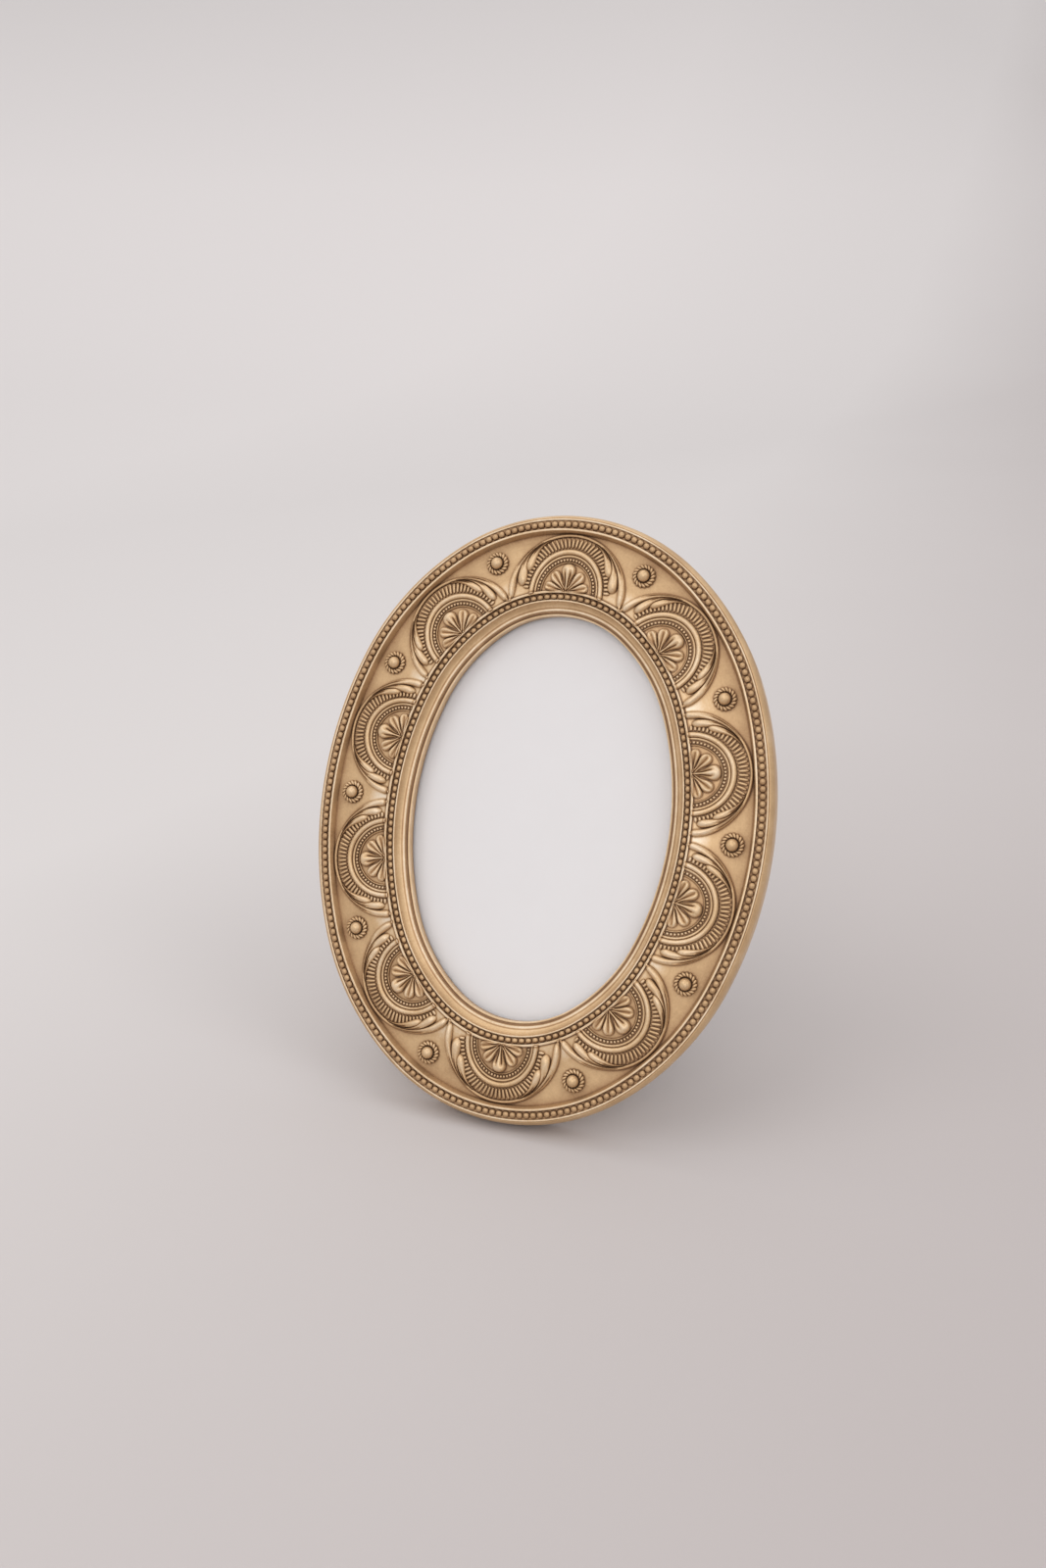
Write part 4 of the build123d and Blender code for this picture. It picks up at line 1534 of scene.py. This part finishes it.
@dataclass
class Rosettes(BoardPart):
    """Balls in rings of twisted rope, between the arches."""

    shares: tuple[float, ...] = (0.2163, 0.621, 1.0)
    offset: float = -0.6
    ball_radius: float = 2.1
    ball_rise: float = 1.3
    full_rise: float = 3.5
    rope_radius: float = 3.15
    rope_height: float = 0.65
    strand_count: int = 17
    strand_length: float = 1.2
    strand_radius: float = 0.6
    strand_depth: float = 0.75
    strand_slant: float = 44.0

    def _rosette(self) -> bpy.types.Mesh:
        """Build one rosette on the origin.

        Returns:
            Its mesh.
        """
        bm = bmesh.new()
        bmesh.ops.create_uvsphere(bm, u_segments=28, v_segments=18, radius=self.ball_radius,
                                  matrix=Matrix.Translation((0, 0, self.ball_rise)))
        strand = bmesh.new()
        size = Matrix.Diagonal((self.strand_length, self.strand_radius, self.strand_depth, 1))
        bmesh.ops.create_uvsphere(strand, u_segments=8, v_segments=6, radius=1.0, matrix=size)
        template = to_mesh(strand)
        place = Matrix.Translation((self.rope_radius, 0, self.rope_height))
        slant = Matrix.Rotation(radians(self.strand_slant), 4, "Z")
        for number in range(self.strand_count):
            turn = Matrix.Rotation(2 * pi * number / self.strand_count, 4, "Z")
            stamp(bm, template, turn @ place @ slant)
        return to_mesh(bm)

    def build(self) -> None:
        """Build all rosettes as one piece."""
        rosette = self._rosette()
        field = self.section.field_level
        bm = bmesh.new()
        for share in self.shares:
            for angle in self.oval.angles_at(share):
                place = Matrix.Translation((*self.oval.point(angle, self.offset), field(self.offset)))
                stamp(bm, rosette, place @ Matrix.Rotation(radians(angle), 4, "Z"))
        self.mark_section(bm, lambda offset, level: (level - field(offset)) / self.full_rise)
        bm.transform(self.board.matrix)
        self.add_piece(bm, "rosettes", "frame_moulding", Slot.GOLD, smooth_angle=60.0)


@dataclass
class Picture(BoardPart):
    """The glass pane and the bare paper behind it."""

    edge_offset: float = -18.7
    glass_back: float = -7.68
    glass_bevel: float = 0.15
    paper_front: float = -7.7
    paper_back: float = -8.0
    paper_bevel: float = 0.05
    degrees_per_step: float = 2.0

    def _sheet(self, front: float, back: float, bevel: float) -> bmesh.types.BMesh:
        """Cut an oval sheet.

        Args:
            front: Level of its front.
            back: Level of its back.
            bevel: Width of the bevel round its edges.

        Returns:
            The sheet in the row frame.
        """
        bm = bmesh.new()
        arcs = self.oval.arcs()
        last = [bm.verts.new((*self.oval.point(arcs[0].start, self.edge_offset), back))]
        for arc in arcs:
            steps = ceil(arc.sweep / self.degrees_per_step)
            spun = bmesh.ops.spin(bm, geom=last, cent=(*arc.centre, back), axis=(0, 0, 1),
                                  angle=radians(arc.sweep), steps=steps, use_duplicate=False)
            last = verts_in(spun["geom_last"])
        bmesh.ops.remove_doubles(bm, verts=bm.verts, dist=MERGE_GAP)
        flat = bmesh.ops.contextual_create(bm, geom=list(bm.edges))["faces"]
        raised = bmesh.ops.extrude_face_region(bm, geom=flat, use_keep_orig=True)["geom"]
        bmesh.ops.translate(bm, vec=(0, 0, front - back), verts=verts_in(raised))
        bmesh.ops.recalc_face_normals(bm, faces=bm.faces)
        rims = [e for e in bm.edges if len(e.link_faces) == 2 and any(len(f.verts) > 4 for f in e.link_faces)]
        bmesh.ops.bevel(bm, geom=rims, offset=bevel, offset_type="OFFSET", segments=1, profile=0.5,
                        affect="EDGES", material=-1, clamp_overlap=True)
        bm.transform(self.board.matrix)
        return bm

    def build(self) -> None:
        """Build both sheets."""
        glass = self._sheet(self.section.lip_level, self.glass_back, self.glass_bevel)
        self.add_piece(glass, "glass_sheet", "glass_pane", Slot.GLASS, smooth_angle=30.0)
        paper = self._sheet(self.paper_front, self.paper_back, self.paper_bevel)
        self.add_piece(paper, "paper_sheet", "photo_insert", Slot.PAPER, smooth_angle=30.0)


@dataclass
class CrossScrews(BoardPart):
    """Pan-head screws that hold the turn buttons, each with a cross recess in its head."""

    angles: tuple[float, ...] = (40.0, 140.0, 220.0, 320.0)
    inset: float = 6.2
    seat: float = 0.9
    shank_radius: float = 1.45
    length: float = 7.5
    head_radius: float = 3.0
    head_height: float = 1.7
    head_edge: float = 0.7
    head_bevel: float = 0.15
    recess_width: float = 0.62
    recess_length: float = 3.3
    recess_depth: float = 1.1
    recess_taper: float = 0.5
    first_turn: float = 0.4
    next_turn: float = 0.9
    dome_steps: int = 6
    round_steps: int = 40

    def _turned(self) -> bpy.types.Mesh:
        """Turn the screw from its half section, standing on the origin with its head up.

        Returns:
            Its mesh, without a recess.
        """
        drop = self.head_height - self.head_edge
        radius = (self.head_radius ** 2 + drop ** 2) / (2 * drop)
        whole = asin(self.head_radius / radius)
        dome = []
        for step in range(self.dome_steps + 1):
            turn = whole * (1 - step / self.dome_steps)
            dome.append((radius * sin(turn), 0.0, self.head_height - radius * (1 - cos(turn))))
        tip = -self.length - self.seat
        points = [
            (0.0, 0.0, tip), (self.shank_radius, 0.0, tip + self.shank_radius), (self.shank_radius, 0.0, 0.0),
            (self.head_radius - self.head_bevel, 0.0, 0.0), (self.head_radius, 0.0, self.head_bevel), *dome,
        ]
        bm = bmesh.new()
        verts = [bm.verts.new(point) for point in points]
        edges = [bm.edges.new(pair) for pair in zip(verts, verts[1:])]
        bmesh.ops.spin(bm, geom=verts + edges, cent=(0, 0, 0), axis=(0, 0, 1), angle=2 * pi,
                       steps=self.round_steps, use_merge=True, use_duplicate=False)
        bmesh.ops.remove_doubles(bm, verts=bm.verts, dist=1e-4)
        bmesh.ops.recalc_face_normals(bm, faces=bm.faces)
        return to_mesh(bm)

    def _recess(self) -> bpy.types.Mesh:
        """Make the cross that is cut out of a head, narrowing downwards.

        Returns:
            Its mesh.
        """
        bm = bmesh.new()
        size = Matrix.Diagonal((self.recess_length, self.recess_width, 2 * self.recess_depth, 1))
        for turn in (0.0, pi / 2):
            place = Matrix.Translation((0, 0, self.head_height)) @ Matrix.Rotation(turn, 4, "Z")
            bmesh.ops.create_cube(bm, size=1.0, matrix=place @ size)
        low = [v for v in bm.verts if v.co.z < self.head_height]
        bmesh.ops.scale(bm, vec=(self.recess_taper, self.recess_taper, 1), verts=low)
        return to_mesh(bm)

    @staticmethod
    def _cut(body: bpy.types.Mesh, tool: bpy.types.Mesh) -> bpy.types.Mesh:
        """Cut a tool out of a body.

        Args:
            body: Mesh to cut.
            tool: Mesh to take away.

        Returns:
            The cut mesh.
        """
        holder, cutter = add_object("screw_body", body), add_object("screw_tool", tool)
        cut = holder.modifiers.new("recess", "BOOLEAN")
        cut.operation = "DIFFERENCE"
        cut.solver = "EXACT"
        cut.use_self = True
        cut.object = cutter
        seen = holder.evaluated_get(bpy.context.evaluated_depsgraph_get())
        result = bpy.data.meshes.new_from_object(seen)
        for made in (holder, cutter):
            bpy.data.objects.remove(made)
        return result

    def build(self) -> None:
        """Build the four screws as one piece."""
        screw = self._cut(self._turned(), self._recess())
        seat_level = self.section.back_level - self.seat
        head_back = Matrix.Rotation(pi, 4, "X")
        bm = bmesh.new()
        for number, angle in enumerate(self.angles):
            centre = self.oval.point(angle, self.section.rabbet_wall + self.inset)
            turn = Matrix.Rotation(self.first_turn + self.next_turn * number, 4, "Z")
            stamp(bm, screw, Matrix.Translation((*centre, seat_level)) @ head_back @ turn)
        bmesh.ops.recalc_face_normals(bm, faces=bm.faces)
        bm.transform(self.board.matrix)
        self.add_piece(bm, "cross_screws", "turn_button_screws", Slot.SCREW, smooth_angle=32.0)


@dataclass
class Fittings:
    """The back and its fittings, whose CAD shapes stay, dressed in their finishes."""

    finishes: Finishes

    def dress(self) -> None:
        """Give each CAD node its material."""
        for subpart in frame["record"]["subparts"]:
            slot = Slot(subpart["material_slot"])
            for holder in frame["nodes"][subpart["node"]].material_slots:
                holder.material = self.finishes[slot]
            LOG.info("%s: finish %s", subpart["node"], slot.value)


# Studio


class LampKind(Enum):
    """Kinds of light."""

    SUN = "SUN"
    PANEL = "AREA"


@dataclass(frozen=True)
class Lamp:
    """Soft light that points at the frame: place and panel's side in metres, sun's angle in degrees."""

    name: str
    place: tuple[float, float, float]
    power: float
    colour: tuple[float, float, float]
    spread: float
    kind: LampKind = LampKind.PANEL
    target: tuple[float, float, float] = (0.0, 0.0, 0.1)

    def build(self) -> None:
        """Hang the light."""
        data = bpy.data.lights.new(self.name, self.kind.value)
        data.energy = self.power
        data.color = self.colour
        if self.kind is LampKind.SUN:
            data.angle = radians(self.spread)
        else:
            data.size = self.spread
        light = add_object(self.name, data)
        light.location = self.place
        toward = Vector(self.target) - Vector(self.place)
        light.rotation_euler = toward.to_track_quat("-Z", "Y").to_euler()


@dataclass
class Studio:
    """Pale floor and backdrop, soft light and the photograph's camera.

    The floor is in metres. The camera's distance and aim are millimetres from the middle of the board.
    """

    board: Board
    yaw: float = 20.34
    pitch: float = 21.21
    distance: float = 545.0
    aim_right: float = 4.2
    aim_up: float = -11.6
    lens: float = 36.0
    sensor: float = 36.0
    floor_half: float = 6.0
    sweep_start: float = 1.6
    sweep_radius: float = 4.0
    sweep_turn: float = 60.0
    sweep_steps: int = 24
    air_colour: Colour = (0.70, 0.655, 0.64, 1.0)
    fill_colour: Colour = (0.97, 0.975, 1.0, 1.0)
    fill_strength: float = 0.865
    lamps: tuple[Lamp, ...] = (
        Lamp("key_light", (-0.85, -0.85, 1.75), 0.38, (1.0, 0.975, 0.94), 40.0, LampKind.SUN),
        Lamp("front_light", (0.25, -1.2, 0.8), 3.2, (1.0, 0.98, 0.95), 0.6),
        Lamp("side_light", (1.2, -0.4, 1.3), 3.2, (1.0, 0.985, 0.96), 0.8),
        Lamp("top_light", (-0.45, 0.6, 2.5), 9.0, (1.0, 0.99, 0.98), 1.4),
    )

    def build_floor(self) -> None:
        """Lay a wide floor whose far side turns up into a backdrop."""
        bm = bmesh.new()
        near = [bm.verts.new((side * self.floor_half, -self.floor_half, 0.0)) for side in (-1, 1)]
        edge = bm.edges.new(near)
        made = bmesh.ops.extrude_edge_only(bm, edges=[edge])["geom"]
        far = verts_in(made)
        bmesh.ops.translate(bm, vec=(0, self.floor_half + self.sweep_start, 0), verts=far)
        ring = far + [edge for edge in edges_in(made) if all(vert in far for vert in edge.verts)]
        bmesh.ops.spin(bm, geom=ring, cent=(0, self.sweep_start, self.sweep_radius), axis=(1, 0, 0),
                       angle=radians(self.sweep_turn), steps=self.sweep_steps, use_merge=False,
                       use_duplicate=False)
        bmesh.ops.recalc_face_normals(bm, faces=bm.faces)
        mesh = to_mesh(bm)
        mesh.materials.append(PaleFloor().material())
        mesh.shade_smooth()
        floor = add_object("studio_floor", mesh)

    def build_air(self) -> None:
        """Set the world: an even fill light, and a pale colour where the camera looks past the backdrop."""
        world = bpy.data.worlds.new("studio_air")
        bpy.context.scene.world = world
        shop = NodeShop(world)
        seen = shop.node("ShaderNodeLightPath", {}, {}, "Is Camera Ray")
        light = {"Color": self.fill_colour, "Strength": self.fill_strength}
        fill = shop.node("ShaderNodeBackground", {}, light)
        air = shop.node("ShaderNodeBackground", {}, {"Color": self.air_colour})
        shop.node("ShaderNodeOutputWorld", {}, {"Surface": shop.blend(seen, fill, air)}, None)

    def add_camera(self) -> None:
        """Put the camera where the photograph was taken from."""
        yaw, pitch = radians(self.yaw), radians(self.pitch)
        right = Vector((cos(yaw), sin(yaw), 0.0))
        ahead = Vector((-sin(yaw) * cos(pitch), cos(yaw) * cos(pitch), -sin(pitch)))
        up = right.cross(ahead)
        aim = right * self.aim_right + up * self.aim_up + ahead * self.distance
        data = bpy.data.cameras.new("camera")
        data.sensor_fit = "AUTO"
        data.sensor_width = self.sensor
        data.lens = self.lens
        camera = add_object("camera", data)
        turn = Matrix((right, up, -ahead)).transposed().to_4x4()
        camera.matrix_world = Matrix.Translation(self.board.origin - aim * MM) @ turn
        bpy.context.scene.camera = camera

    def build(self) -> None:
        """Build the whole studio."""
        self.build_floor()
        self.build_air()
        for lamp in self.lamps:
            lamp.build()
        self.add_camera()
        bpy.context.scene.view_settings.view_transform = "Standard"


def main() -> None:
    """Build the frame piece by piece, then the studio."""
    logging.basicConfig(level=logging.INFO, format="%(name)s: %(message)s")
    finishes = make_finishes()
    oval, section = Oval(), Section()
    board = Board.behind_pane(lean_angle=23.74, pane_level=-6.7)
    Fittings(finishes).dress()
    for sub_assembly in (Moulding, ArchOrnament, Rosettes, Picture, CrossScrews):
        sub_assembly(oval, section, board, finishes).build()
    Studio(board).build()


if __name__ == "__main__":
    main()
